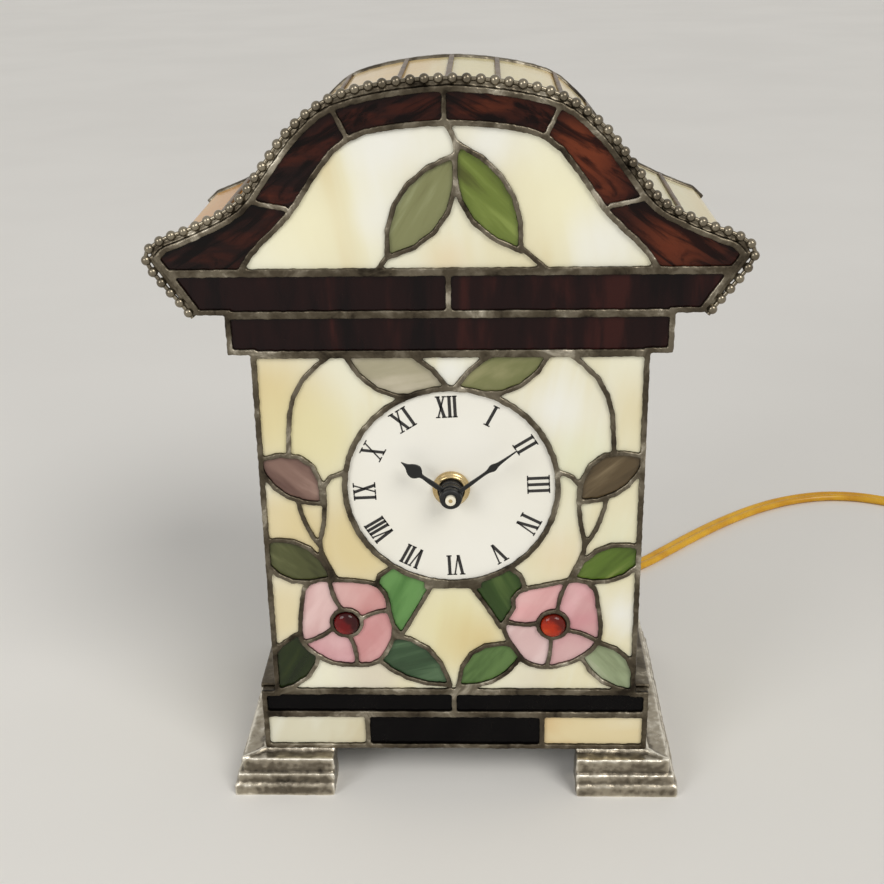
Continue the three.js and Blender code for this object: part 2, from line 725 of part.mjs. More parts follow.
const seamTop = offsetPath(roofLine, -(fitGap / 3 + seamHeight));
const seamFoot = offsetPath(roofLine, -fitGap / 3);
const frontSeam = [...seamTop, ...seamFoot.reverse()];
const roofSolids = [slab(frontSeam, glassThickness, seamWidth)];
for (let i = 1; i < roofStrips; i += 1) {
  const facet = 1 + Math.round((i * archSegments) / roofStrips - 0.5);
  const along = roofLine[facet + 1].clone().sub(roofLine[facet]).normalize();
  const out = vec(along.y, -along.x);
  const foot = roofLine[facet].clone().lerp(roofLine[facet + 1], 0.5).addScaledVector(out, fitGap / 3);
  const corner = (a, b) => foot.clone().addScaledVector(along, a).addScaledVector(out, b);
  const half = seamWidth / 2;
  const section = [corner(-half, seamHeight), corner(-half, 0), corner(half, 0), corner(half, seamHeight)];
  roofSolids.push(slab(section.reverse(), glassThickness, wallDepth));
}
addPiece('roof_leading', join(roofSolids), 'lead');

const backOutline = [...sideLine, ...offsetPath(arch, roofDrop - seamHeight), ...mirrored(sideLine)];
const backInside = offsetPath(backOutline, backRimWidth, true);
const backSolids = [slab(backOutline, backRimFront, backRimDepth, [backInside])];
const seamMiddle = caseDepth / 2;
const seamOutside = plinthHalf + seamHeight;
const rowSeam = rectangle(plinthHalf, plinthRowTop - seamWidth / 2, seamOutside, plinthRowTop + seamWidth / 2);
const ledgeSeam = [
  vec(plinthHalf, plinthTop - seamWidth / 2),
  vec(seamOutside, plinthTop - seamWidth / 2),
  vec(seamOutside, plinthTop + seamHeight),
  vec(bodyHalfBottom, plinthTop + seamHeight),
  vec(bodyHalfBottom, plinthTop),
  vec(plinthHalf, plinthTop),
];
const lowerUpright = rectangle(plinthHalf, plinthRowTop, seamOutside, plinthTop);
const upperUpright = [
  vec(bodyHalfBottom, plinthTop),
  vec(bodyHalfBottom + seamHeight, plinthTop),
  vec(bodyHalfTop + seamHeight, bodyTop - fitGap),
  vec(bodyHalfTop, bodyTop - fitGap),
];
for (const side of [-1, 1]) {
  const facing = (outline) => (side > 0 ? outline : mirrored(outline));
  for (const seam of [rowSeam, ledgeSeam]) {
    backSolids.push(slab(facing(seam), glassThickness, caseDepth - glassThickness));
  }
  for (const seam of [lowerUpright, upperUpright]) {
    backSolids.push(slab(facing(seam), seamMiddle - seamWidth / 2, seamWidth));
  }
}
addPiece('back_rim', join(backSolids), 'lead');

// Bead trim along the front edge of the roof, one wire that swells into beads

const beadPath = offsetPath([bandCorner, ...archPoints, vec(-bandHalf, friezeTop)], -(beadRadius + fitGap));
const beadCurve = new THREE.CatmullRomCurve3(beadPath.map((p) => new THREE.Vector3(p.x, beadSetback, p.y)));
const beadSteps = 2 * Math.round(beadCurve.getLength() / beadPitch);
const beadSections = Array.from({ length: beadSteps + 1 }, (_, i) =>
  roundSection(i % 2 ? beadRadius : beadNeck, 5),
);
addPiece('bead_trim', sweep(beadCurve.getSpacedPoints(beadSteps), beadSections, new THREE.Vector3(0, 1, 0)), 'lead');

// Feet: stepped mouldings along both sides, returned across the front and the back

function footStep(flare, zBottom, height) {
  const outside = plinthHalf + flare * footSideFlare;
  const front = -flare * footFrontFlare;
  const rear = caseDepth + flare * footFrontFlare;
  const inside = plinthHalf - footWall;
  const end = plinthHalf + footSideFlare - footReturn;
  return block(
    [
      vec(end, front),
      vec(outside, front),
      vec(outside, rear),
      vec(end, rear),
      vec(end, caseDepth - footReturnDepth),
      vec(inside, caseDepth - footReturnDepth),
      vec(inside, footReturnDepth),
      vec(end, footReturnDepth),
    ],
    zBottom,
    height,
  );
}

const footSolids = footSteps.map((step, i) => {
  const bottom = i > 0 ? footSteps[i - 1].height : 0;
  return footStep(step.flare, bottom, step.height - bottom);
});
const rightFoot = geometryOf(join(footSolids));
const leftFoot = geometryOf(join(footSolids));
leftFoot.scale(-1, 1, 1);
leftFoot.setIndex(Array.from(leftFoot.index.array).reverse());
leftFoot.computeVertexNormals();
addPiece('foot_right', rightFoot, 'pewter');
addPiece('foot_left', leftFoot, 'pewter');

// Base plate on the feet, with a flange at the back that holds the strain relief

const baseHalf = plinthHalf - glassThickness - 2 * fitGap;
const flangeFront = backRimFront - baseFlangeThickness;
const floorPlate = block(
  [vec(-baseHalf, glassThickness), vec(baseHalf, glassThickness), vec(baseHalf, backRimFront), vec(-baseHalf, backRimFront)],
  panelBottom,
  baseThickness,
);
const reliefHole = circle(vec(reliefX, reliefHeight), reliefGripRadius + fitGap, 24);
const flange = slab(
  rectangle(-baseHalf, panelBottom, baseHalf, baseFlangeTop),
  flangeFront,
  baseFlangeThickness,
  [reliefHole],
);
addPiece('base_plate', floorPlate.add(flange), 'steel');

// Lamp: bracket, socket and bulb, standing on the base plate

const lampParts = new THREE.Group();
lampParts.position.set(0, lampSetback, 0);
lamp.add(lampParts);

const bracketProfile = [
  [0, baseTop],
  [bracketFlangeRadius, baseTop],
  [bracketFlangeRadius, baseTop + bracketFlangeThickness],
  [bracketPipeRadius, baseTop + bracketFlangeThickness],
  [bracketPipeRadius, socketBottom],
  [0, socketBottom],
];
addPiece('lamp_bracket', turnedAlongZ(bracketProfile), 'brass', lampParts);

const socketTop = socketBottom + socketLength;
const socketBore = bulbBaseRadius + fitGap;
const socketProfile = [
  [0, socketBottom],
  [socketRadius, socketBottom],
  [socketRadius, socketTop],
  [socketBore, socketTop],
  [socketBore, socketBottom + socketFloor],
  [0, socketBottom + socketFloor],
];
addPiece('socket_body', turnedAlongZ(socketProfile), 'creamPlastic', lampParts);

const bulbBaseProfile = [
  [0, socketBottom + socketFloor],
  [bulbBaseRadius, socketBottom + socketFloor],
  [bulbBaseRadius, socketTop],
  [0, socketTop],
];
addPiece('bulb_base', turnedAlongZ(bulbBaseProfile, 16), 'steel', lampParts);

const bulbSwell = new THREE.SplineCurve([
  vec(bulbBaseRadius, socketTop),
  vec(0.75 * bulbRadius, socketTop + 0.16 * bulbLength),
  vec(bulbRadius, socketTop + 0.4 * bulbLength),
  vec(0.7 * bulbRadius, socketTop + 0.7 * bulbLength),
  vec(0.2 * bulbRadius, socketTop + 0.93 * bulbLength),
  vec(0, socketTop + bulbLength),
]).getPoints(8);
const bulbProfile = [[0, socketTop], ...bulbSwell.map((p) => [Math.max(p.x, 0), p.y])];
bulbProfile[bulbProfile.length - 1][0] = 0;
addPiece('bulb_glass', turnedAlongZ(bulbProfile, 14), 'bulbGlass', lampParts);

// Clock: everything below is drawn about the hands' axis, which runs along Y

const clock = new THREE.Group();
clock.position.set(dialCentre.x, 0, dialCentre.y);
lamp.add(clock);
const axis = vec(0, 0);

addPiece(
  'dial',
  slab(circle(axis, dialDiscRadius, 48), 0, dialThickness, [circle(axis, bushRadius + fitGap, 20)]),
  'white',
  clock,
);

const ring = (outer, inner, yFront, length, segments = 24) =>
  slab(circle(axis, outer, segments), yFront, length, [circle(axis, inner, segments)]);
const disc = (radius, yFront, length, segments = 24) => slab(circle(axis, radius, segments), yFront, length);

addPiece('fixing_nut', ring(nutRadius, bushRadius + fitGap, -nutThickness, nutThickness), 'brass', clock);

const movementHalf = movementSize / 2;
const innerHalf = movementHalf - movementWall;
const innerFront = movementFront + movementWall;
const innerDepth = movementBack - innerFront + 1;
const cutHalf = movementHalf - movementCorner;
const shellOutline = [
  vec(cutHalf, -movementHalf),
  vec(movementHalf, -cutHalf),
  vec(movementHalf, cutHalf),
  vec(cutHalf, movementHalf),
  vec(-cutHalf, movementHalf),
  vec(-movementHalf, cutHalf),
  vec(-movementHalf, -cutHalf),
  vec(-cutHalf, -movementHalf),
];
const shell = slab(shellOutline, movementFront, movementDepth);
const hollow = slab(offsetPath(shellOutline, movementWall, true), innerFront, innerDepth);
const chamber = slab(rectangle(-innerHalf, chamberBottom, innerHalf, innerHalf), innerFront, innerDepth);
const batteryBay = slab(rectangle(-innerHalf, -innerHalf, innerHalf, batteryBayTop), innerFront, innerDepth);
const movementCase = shell
  .subtract(hollow.intersect(chamber.add(batteryBay)))
  .add(disc(bushRadius, -bushLength, bushLength + innerFront))
  .subtract(disc(bushBore, -bushLength - 1, bushLength + innerFront + 2));
addPiece('movement_case', movementCase, 'blackPlastic', clock);

const coverHalf = innerHalf - fitGap;
const coverCut = coverHalf - movementCorner;
const coverFront = movementBack - movementWall;
const pivotRadius = arborRadius / 2;
const coverOutline = [
  vec(-coverHalf, chamberBottom + fitGap),
  vec(coverHalf, chamberBottom + fitGap),
  vec(coverHalf, coverCut),
  vec(coverCut, coverHalf),
  vec(-coverCut, coverHalf),
  vec(-coverHalf, coverCut),
];
const coverHoles = [
  circle(axis, pivotRadius + fitGap, 12),
  circle(vec(0, gearDistance), settingShaftRadius + fitGap, 16),
];
addPiece('movement_cover', slab(coverOutline, coverFront, movementWall, coverHoles), 'blackPlastic', clock);

const batteryRadius = (innerHalf + batteryBayTop) / 2 - batterySideGap;
const batteryLength = 2 * (innerHalf - batteryEndGap);
const batteryZ = (batteryBayTop - innerHalf) / 2;
const batteryY = innerFront + fitGap + batteryRadius;
const nubRadius = 2.7;
const nubLength = 1.2;
const cellLength = batteryLength - nubLength;
const cellProfile = [
  [0, -batteryLength / 2],
  [batteryRadius, -batteryLength / 2],
  [batteryRadius, -batteryLength / 2 + cellLength],
  [nubRadius, -batteryLength / 2 + cellLength],
  [nubRadius, batteryLength / 2],
  [0, batteryLength / 2],
];
const battery = addPiece('battery', turnedAlongY(cellProfile, 20), 'cell', clock);
battery.rotation.z = -Math.PI / 2;
battery.position.set(0, batteryY, batteryZ);

// A gear's outline with straight-sided teeth, the first tooth centred on firstTooth degrees
function gearOutline(teeth, firstTooth) {
  const pitchRadius = (gearModule * teeth) / 2;
  const tip = pitchRadius + 0.75 * gearModule;
  const root = pitchRadius - 1.2 * gearModule;
  const pitchAngle = (2 * Math.PI) / teeth;
  const start = THREE.MathUtils.degToRad(firstTooth);
  const corners = [
    [root, -0.27],
    [tip, -0.1],
    [tip, 0.1],
    [root, 0.27],
  ];
  return Array.from({ length: teeth }, (_, i) =>
    corners.map(([radius, share]) => {
      const angle = start + (i + share) * pitchAngle;
      return vec(radius * Math.cos(angle), radius * Math.sin(angle));
    }),
  ).flat();
}

// At rest a tooth of each pinion stands in a gap of its wheel, on the line between their axes
const hourGearFront = movementFront + hourGearSetback;
const minuteGearFront = movementFront + minuteGearSetback;
const halfTooth = (teeth) => 180 / teeth;
const gear = (teeth, firstTooth, yFront, holes = []) =>
  slab(gearOutline(teeth, firstTooth), yFront, gearWidth, holes);

const minuteArbor = disc(arborRadius, -arborReach, arborReach + minuteGearFront + gearWidth, 16)
  .add(gear(minuteTeeth, 90, minuteGearFront))
  .add(disc(pivotRadius, minuteGearFront, movementBack - minuteGearFront, 12));
addPiece('minute_arbor', minuteArbor, 'creamPlastic', clock);

const hourWheel = ring(pipeRadius, pipeBore, -pipeReach, pipeReach + hourGearFront + gearWidth, 20).add(
  gear(hourTeeth, 90 + halfTooth(hourTeeth), hourGearFront, [circle(axis, pipeBore, 20)]),
);
addPiece('hour_wheel', hourWheel, 'creamPlastic', clock);

const settingFoot = innerFront + fitGap;
const settingWheel = disc(settingShaftRadius / 2, settingFoot, minuteGearFront - settingFoot, 12)
  .add(gear(settingPinionTeeth, -90, hourGearFront))
  .add(gear(settingTeeth, -90 + halfTooth(settingTeeth), minuteGearFront))
  .add(disc(settingShaftRadius, minuteGearFront, movementBack + fitGap - minuteGearFront, 16))
  .add(disc(knobRadius, movementBack + fitGap, knobLength, 14));
const setting = addPiece('setting_wheel', settingWheel, 'blackPlastic', clock);
setting.position.set(0, 0, gearDistance);

// Hands, drawn pointing up and turned to the time shown

function handOutline(side) {
  return [...side.map(([half, height]) => vec(half, height)), ...side.map(([half, height]) => vec(-half, height)).reverse()];
}

const hourBlade = handOutline([
  [0.9, pipeRadius + 1],
  [0.8, 0.54 * hourHandLength],
  [2.4, 0.63 * hourHandLength],
  [2.75, 0.71 * hourHandLength],
  [2.1, 0.8 * hourHandLength],
  [0.9, 0.87 * hourHandLength],
  [0.15, hourHandLength],
]);
const hourBossLength = hourHandFront - bushLength - fitGap;
const hourHand = slab(hourBlade, -hourHandFront, handThickness).add(
  ring(hourBossRadius, pipeRadius + fitGap, -hourHandFront, hourBossLength),
);
addPiece('hour_hand', hourHand, 'blackPaint', clock).rotation.y = THREE.MathUtils.degToRad(hourHandAngle);

const minuteBlade = handOutline([
  [0.8, arborRadius + 1],
  [0.75, 0.52 * minuteHandLength],
  [1.35, 0.63 * minuteHandLength],
  [0.7, 0.77 * minuteHandLength],
  [0.25, minuteHandLength],
]);
const minuteBossFront = minuteHandFront + minuteBossRise;
const minuteHand = slab(minuteBlade, -minuteHandFront, handThickness).add(
  ring(minuteBossRadius, arborRadius + fitGap, -minuteBossFront, minuteBossLength),
);
addPiece('minute_hand', minuteHand, 'blackPaint', clock).rotation.y = THREE.MathUtils.degToRad(minuteHandAngle);

// Strain relief in the flange, and the lead inside the case

const reliefStart = backRimFront + fitGap;
const reliefEnd = reliefStart + reliefLength;
const reliefTip = cordWidth / 2 + 1;
const reliefProfile = [
  [0, flangeFront - reliefGripLength],
  [reliefGripRadius, flangeFront - reliefGripLength],
  [reliefGripRadius, reliefStart],
  [reliefCollarRadius, reliefStart],
  [reliefCollarRadius, reliefStart + reliefCollarThickness],
  [reliefGripRadius, reliefStart + reliefCollarThickness],
  [reliefTip, reliefEnd],
  [0, reliefEnd],
];
const relief = addPiece('strain_relief', turnedAlongY(reliefProfile, 16), 'goldCord');
relief.position.set(reliefX, 0, reliefHeight);

const upright = new THREE.Vector3(0, 0, 1);
const cordSides = 8;
const alongCord = (points, steps) => new THREE.CatmullRomCurve3(points).getSpacedPoints(steps);
const cordTube = (points) => sweep(points, points.map(() => flatSection(cordSides)), upright);
const at = (x, y, z = cordRest) => new THREE.Vector3(x, y, z);

const innerLead = [
  at(reliefX, flangeFront - reliefGripLength - fitGap, reliefHeight),
  at(reliefX - 1, flangeFront - 14, reliefHeight + 1),
  at(0.75 * reliefX, lampSetback + 12, reliefHeight + 6),
  at(socketRadius + 12, lampSetback + 2, socketBottom + 6),
  at(socketRadius + fitGap, lampSetback, socketBottom + 8),
];
addPiece('inner_lead', cordTube(alongCord(innerLead, 12)), 'goldCord');

// Free cord: out of the strain relief, down to the table, and round to the switch

const switchStart = at(280, 226.2, switchEntryHeight);
const switchHeading = THREE.MathUtils.degToRad(-50);
const heading = new THREE.Vector3(Math.cos(switchHeading), Math.sin(switchHeading), 0);
const cordRoute = [
  at(reliefX, reliefEnd + fitGap, reliefHeight),
  at(reliefX, reliefEnd + fitGap + cordWidth, reliefHeight),
  at(reliefX + 1.6, reliefEnd + 16, 0.92 * reliefHeight),
  at(reliefX + 6.5, reliefEnd + 26, 0.7 * reliefHeight),
  at(reliefX + 15.5, reliefEnd + 35, 0.42 * reliefHeight),
  at(68, 164, 6),
  at(82, 172.5, 2.6),
  at(96, 183.3),
  at(109.5, 196.5),
  at(124, 211.2),
  at(146, 231.5),
  at(170, 249.5),
  at(189.5, 259.5),
  at(210, 264.6),
  at(228, 263.4),
  at(245, 257),
  at(259, 247.8, 2.6),
  at(268, 239.2, 5),
  switchStart.clone().addScaledVector(heading, -cordWidth),
  switchStart.clone().addScaledVector(heading, -fitGap),
];
const cordPoints = alongCord(cordRoute, 36);
addPiece('cord_run', cordTube(cordPoints), 'goldCord');

// Switch and coil share a frame: x along the cord, starting where it enters the switch

const spare = new THREE.Group();
spare.position.set(switchStart.x, switchStart.y, 0);
spare.rotation.z = switchHeading;
lamp.add(spare);

const endHalf = switchEndWidth / 2;
const sideHalf = switchWidth / 2;
const taper = switchLength / 5;
const switchOutline = [
  vec(0, -endHalf),
  vec(taper, -sideHalf),
  vec(switchLength - taper, -sideHalf),
  vec(switchLength, -endHalf),
  vec(switchLength, endHalf),
  vec(switchLength - taper, sideHalf),
  vec(taper, sideHalf),
  vec(0, endHalf),
];
const switchMiddle = switchLength / 2;
const windowHalf = rockerWidth / 2 + fitGap;
const windowFloor = rockerPivotHeight - 6;
const windowOutline = [
  vec(switchMiddle - rockerWindow / 2, -windowHalf),
  vec(switchMiddle + rockerWindow / 2, -windowHalf),
  vec(switchMiddle + rockerWindow / 2, windowHalf),
  vec(switchMiddle - rockerWindow / 2, windowHalf),
];
const switchBody = block(switchOutline, 0, switchHeight).subtract(block(windowOutline, windowFloor, switchHeight));
addPiece('switch_body', switchBody, 'goldCord', spare);

const rockerHalf = rockerWindow / 2 - 1.3;
const rockerProfile = [
  vec(0, -4.5),
  vec(rockerHalf, 1),
  vec(rockerHalf - 0.4, 6.2),
  vec(0, 4.8),
  vec(0.4 - rockerHalf, 6.2),
  vec(-rockerHalf, 1),
];
const rocker = addPiece('switch_rocker', slab(rockerProfile, -rockerWidth / 2, rockerWidth), 'blackPlastic', spare);
rocker.position.set(switchMiddle, 0, rockerPivotHeight);
rocker.rotation.y = THREE.MathUtils.degToRad(rockerTilt);

// The coil: a straight lead-in, turns inwards, a climb in the last half turn, and turns outwards on top

const coilStart = switchLength + fitGap;
const coilMiddle = vec(coilStart + coilLeadIn, -coilOuterRadius);
const climbStart = coilInTurns - 0.5;
const topRest = cordRest + coilLayer;
const smooth = (t) => THREE.MathUtils.smoothstep(t, 0, 1);

function coilPoint(turn) {
  const innermost = coilOuterRadius - coilPitch * coilInTurns;
  const after = turn - coilInTurns;
  let radius = coilOuterRadius - coilPitch * turn;
  if (after > 0) {
    const firstHalf = 2 * coilReverseStep * Math.min(after, 0.5);
    radius = innermost + coilPitch * (firstHalf + Math.max(after - 0.5, 0));
  }
  const climb = THREE.MathUtils.clamp((turn - climbStart) / 0.5, 0, 1);
  const angle = 2 * Math.PI * turn;
  return at(
    coilMiddle.x + radius * Math.sin(angle),
    coilMiddle.y + radius * Math.cos(angle),
    cordRest + coilLayer * climb,
  );
}

const leadSteps = 8;
const leadIn = Array.from({ length: leadSteps }, (_, i) => {
  const run = (i / leadSteps) * coilLeadIn;
  const drop = smooth((run - cordWidth) / (coilLeadIn - 2 * cordWidth));
  return at(coilStart + run, 0, THREE.MathUtils.lerp(switchEntryHeight, cordRest, drop));
});
const coilTurns = coilInTurns + 0.5 + coilOutTurns;
const turnSteps = Math.round(coilTurns * coilSteps);
const turns = Array.from({ length: turnSteps + 1 }, (_, i) => coilPoint((i / turnSteps) * coilTurns));
const coilEnd = turns[turns.length - 1];
const tailAngle = -2 * Math.PI * coilTurns;
const tailHeading = new THREE.Vector3(Math.cos(tailAngle), Math.sin(tailAngle), 0);
const tail = [0.25, 0.5, 0.75, 1].map((share) => coilEnd.clone().addScaledVector(tailHeading, share * coilTail));
const coilPath = [...leadIn, ...turns, ...tail];
const coilSection = flatSection(6);
addPiece('cord_coil', sweep(coilPath, coilPath.map(() => coilSection), upright), 'goldCord', spare);

// Least gap between turns, measured between points on the tube's skin more than half a turn apart
function leastGap(path) {
  const skin = path.map((point, i) => {
    const ahead = path[Math.min(i + 1, path.length - 1)];
    const behind = path[Math.max(i - 1, 0)];
    const side = new THREE.Vector3().crossVectors(upright, ahead.clone().sub(behind)).normalize();
    return coilSection.map(([a, b]) => point.clone().addScaledVector(side, a).addScaledVector(upright, b));
  });
  let least = Infinity;
  for (let i = 0; i < skin.length; i += 1) {
    for (let j = i + coilSteps / 2; j < skin.length; j += 1) {
      for (const p of skin[i]) {
        for (const q of skin[j]) {
          least = Math.min(least, p.distanceTo(q));
        }
      }
    }
  }
  return least;
}

const lengthOf = (points) => points.slice(1).reduce((sum, p, i) => sum + p.distanceTo(points[i]), 0);
const cordLength = lengthOf(cordPoints) + switchLength + lengthOf(coilPath);
console.log(`cord_coil least gap to itself: ${leastGap(coilPath).toFixed(2)} mm`);
console.log(`cord length: ${(cordLength / 1000).toFixed(3)} m`);

// Plug at the end of the coil

const plug = new THREE.Group();
plug.position.copy(coilEnd).addScaledVector(tailHeading, coilTail + fitGap).setZ(0);
plug.rotation.z = tailAngle;
spare.add(plug);

const plugHalf = plugWidth / 2;
const plugNeck = cordWidth / 2 + 2;
const plugOutline = [
  vec(0, -plugNeck),
  vec(0.35 * plugLength, -plugNeck),
  vec(0.6 * plugLength, -plugHalf),
  vec(plugLength, -plugHalf),
  vec(plugLength, plugHalf),
  vec(0.6 * plugLength, plugHalf),
  vec(0.35 * plugLength, plugNeck),
  vec(0, plugNeck),
];
const plugBottom = topRest - plugHeight / 2;
addPiece('plug_body', block(plugOutline, plugBottom, plugHeight), 'goldCord', plug);
for (const side of [-1, 1]) {
  const middle = (side * bladeSpacing) / 2;
  const blade = block(
    [
      vec(plugLength, middle - bladeThickness / 2),
      vec(plugLength + bladeLength, middle - bladeThickness / 2),
      vec(plugLength + bladeLength, middle + bladeThickness / 2),
      vec(plugLength, middle + bladeThickness / 2),
    ],
    topRest - bladeWidth / 2,
    bladeWidth,
  );
  addPiece(side < 0 ? 'plug_blade_right' : 'plug_blade_left', blade, 'brass', plug);
}

export default lamp;
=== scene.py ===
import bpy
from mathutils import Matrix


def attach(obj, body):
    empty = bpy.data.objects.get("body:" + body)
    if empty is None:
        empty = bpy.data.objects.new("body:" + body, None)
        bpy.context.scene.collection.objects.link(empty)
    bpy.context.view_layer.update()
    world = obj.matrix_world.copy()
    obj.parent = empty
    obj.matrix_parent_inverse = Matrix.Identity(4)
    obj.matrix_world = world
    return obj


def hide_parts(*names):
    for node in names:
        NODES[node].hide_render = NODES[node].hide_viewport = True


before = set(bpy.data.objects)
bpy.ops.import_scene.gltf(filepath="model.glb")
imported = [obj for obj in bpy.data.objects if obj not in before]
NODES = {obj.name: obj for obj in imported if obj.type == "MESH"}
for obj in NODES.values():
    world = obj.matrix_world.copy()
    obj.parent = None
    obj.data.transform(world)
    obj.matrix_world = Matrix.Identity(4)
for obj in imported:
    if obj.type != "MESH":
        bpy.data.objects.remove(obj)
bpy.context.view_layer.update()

import math

import bmesh
import bpy
from mathutils import Matrix, Vector, noise

# Sizes are in millimetres unless a name says otherwise, on the drawing whose glass front is y = 0
MM = 0.001
SHIFT = -46.35
SCENE = bpy.context.scene

# Main sizes: heights and half widths of the front panel, and what is set in it
GLASS = 3.0
CASE_DEPTH = 95.0
PANEL_LOW, PLINTH_TOP, BODY_TOP, FRIEZE_TOP = 17.0, 43.5, 183.0, 197.5
PLINTH_HALF, BODY_HALF_LOW, BODY_HALF_HIGH, FRIEZE_HALF, BAND_HALF = 75.7, 70.4, 70.0, 78.0, 87.5
TIP, ARCH_TOP = (101.0, 218.0), 274.4
DIAL_Z = 131.0
LEFT_JEWEL, RIGHT_JEWEL = (-40.81, 74.5), (38.06, 73.7)
GAP = 0.3


def at(x, y, z):
    """A point of the drawing in metres in the part's frame."""
    return Vector((x, y + SHIFT, z)) * MM


# Camera

CAMERA_AT = (12.86, -434.99, 333.68)
PITCH, YAW, ROLL = 22.963, 2.101, -1.007
LENS = 53.460
SENSOR = 36.0
CLIP_START_M = 0.01


def make_camera():
    pitch, yaw, roll = (math.radians(a) for a in (PITCH, YAW, ROLL))
    level = math.cos(pitch)
    forward = Vector((-math.sin(yaw) * level, math.cos(yaw) * level, -math.sin(pitch)))
    right = Vector((math.cos(yaw), math.sin(yaw), 0))
    up = right.cross(forward)
    across = math.cos(roll) * right + math.sin(roll) * up
    over = math.cos(roll) * up - math.sin(roll) * right
    data = bpy.data.cameras.new("camera")
    data.lens = LENS
    data.sensor_width = SENSOR
    data.sensor_fit = "HORIZONTAL"
    data.clip_start = CLIP_START_M
    camera = bpy.data.objects.new("camera", data)
    SCENE.collection.objects.link(camera)
    turn = Matrix((across, over, -forward)).transposed().to_4x4()
    camera.matrix_world = Matrix.Translation(at(*CAMERA_AT)) @ turn
    SCENE.camera = camera


make_camera()


# Curves and meshes

EVEN, ROOTED = 0.0, 0.5
MITRE_LIMIT = 0.3
LATHE_WELD_M = 1e-7


def spline(points, steps, power):
    """Points on a Catmull-Rom curve: EVEN spaces its knots evenly, ROOTED by the root of their distance."""
    points = [Vector(p) for p in points]
    ends = [2 * points[0] - points[1], *points, 2 * points[-1] - points[-2]]
    line = []
    for p0, p1, p2, p3 in zip(ends, ends[1:], ends[2:], ends[3:]):
        d0, d1, d2 = ((b - a).length ** power for a, b in ((p0, p1), (p1, p2), (p2, p3)))
        t1 = d1 * ((p1 - p0) / d0 - (p2 - p0) / (d0 + d1) + (p2 - p1) / d1)
        t2 = d1 * ((p2 - p1) / d1 - (p3 - p1) / (d1 + d2) + (p3 - p2) / d2)
        for i in range(steps):
            t = i / steps
            cubic = (2 * p1 - 2 * p2 + t1 + t2) * t ** 3 + (3 * p2 - 3 * p1 - 2 * t1 - t2) * t ** 2
            line.append(cubic + t1 * t + p1)
    line.append(points[-1])
    return line


def length_of(line):
    return sum((b - a).length for a, b in zip(line, line[1:]))


def spaced(line, count):
    """count + 1 points at even distances along a line."""
    lengths = [0.0]
    for a, b in zip(line, line[1:]):
        lengths.append(lengths[-1] + (b - a).length)
    found = []
    i = 0
    for k in range(count + 1):
        goal = lengths[-1] * k / count
        while i < len(line) - 2 and lengths[i + 1] < goal:
            i += 1
        share = (goal - lengths[i]) / max(lengths[i + 1] - lengths[i], 1e-9)
        found.append(line[i].lerp(line[i + 1], min(share, 1.0)))
    return found


def offset(points, distance, closed=False):
    """A flat line moved sideways, to the left of its direction for a positive distance."""
    last = len(points) - 1
    moved = []
    for i, p in enumerate(points):
        before = points[i - 1] if i > 0 or closed else None
        after = points[(i + 1) % (last + 1)] if i < last or closed else None
        into = (p - before).normalized() if before is not None else (after - p).normalized()
        out = (after - p).normalized() if after is not None else into
        along = (into + out).normalized()
        normal = Vector((-along.y, along.x))
        spread = max(normal.dot(Vector((-into.y, into.x))), MITRE_LIMIT)
        moved.append(p + normal * (distance / spread))
    return moved


def mirrored(points):
    return [Vector((-p.x, p.y)) for p in reversed(points)]


def mesh_of(name, points, faces):
    mesh = bpy.data.meshes.new(name)
    mesh.from_pydata([tuple(p) for p in points], [], faces)
    mesh.update()
    return mesh


def rings_mesh(name, rings, closed=False):
    """A skin through rings of as many points each, capped at its ends or closed on itself."""
    sides = len(rings[0])
    points = [p for ring in rings for p in ring]
    faces = []
    for r in range(len(rings) if closed else len(rings) - 1):
        a = r * sides
        b = ((r + 1) % len(rings)) * sides
        for k in range(sides):
            n = (k + 1) % sides
            faces.append((a + k, a + n, b + n, b + k))
    if not closed:
        faces.append(tuple(reversed(range(sides))))
        faces.append(tuple(range((len(rings) - 1) * sides, len(rings) * sides)))
    return mesh_of(name, points, faces)


def round_section(radius, sides):
    """A round section for a tube, in metres."""
    angles = [2 * math.pi * k / sides for k in range(sides)]
    return [(radius * MM * math.cos(a), radius * MM * math.sin(a)) for a in angles]


def tube(name, line, section):
    """A section of (side, rise) pairs swept along a line in metres."""
    rings = []
    for i, p in enumerate(line):
        tangent = (line[min(i + 1, len(line) - 1)] - line[max(i - 1, 0)]).normalized()
        side = Vector((0, 0, 1)).cross(tangent).normalized()
        rise = tangent.cross(side)
        rings.append([p + side * a + rise * b for a, b in section])
    return rings_mesh(name, rings)


def joined(meshes, weld=None):
    """Closed meshes put together in the first of them, with their faces pointing out."""
    work = bmesh.new()
    for mesh in meshes:
        work.from_mesh(mesh)
    if weld is not None:
        bmesh.ops.remove_doubles(work, verts=work.verts, dist=weld)
    bmesh.ops.recalc_face_normals(work, faces=work.faces)
    work.to_mesh(meshes[0])
    work.free()
    return meshes[0]


def lathe(name, profile, centre, axis, segments=48):
    """(radius, distance) pairs turned about an axis, "Y" or "Z", through a point of the drawing."""
    middle = at(*centre)
    rings = []
    for i in range(segments):
        angle = 2 * math.pi * i / segments
        ring = []
        for radius, along in profile:
            a, b = radius * math.cos(angle), radius * math.sin(angle)
            step = (a, along, -b) if axis == "Y" else (a, b, along)
            ring.append(middle + Vector(step) * MM)
        rings.append(ring)
    return joined([rings_mesh(name, rings, closed=True)], LATHE_WELD_M)


def smooth(mesh, crisp=None):
    """Shades a mesh smooth, apart from edges of more than crisp degrees."""
    mesh.polygons.foreach_set("use_smooth", [True] * len(mesh.polygons))
    if crisp is not None:
        mesh.set_sharp_from_angle(angle=math.radians(crisp))
    mesh.update()
    return mesh


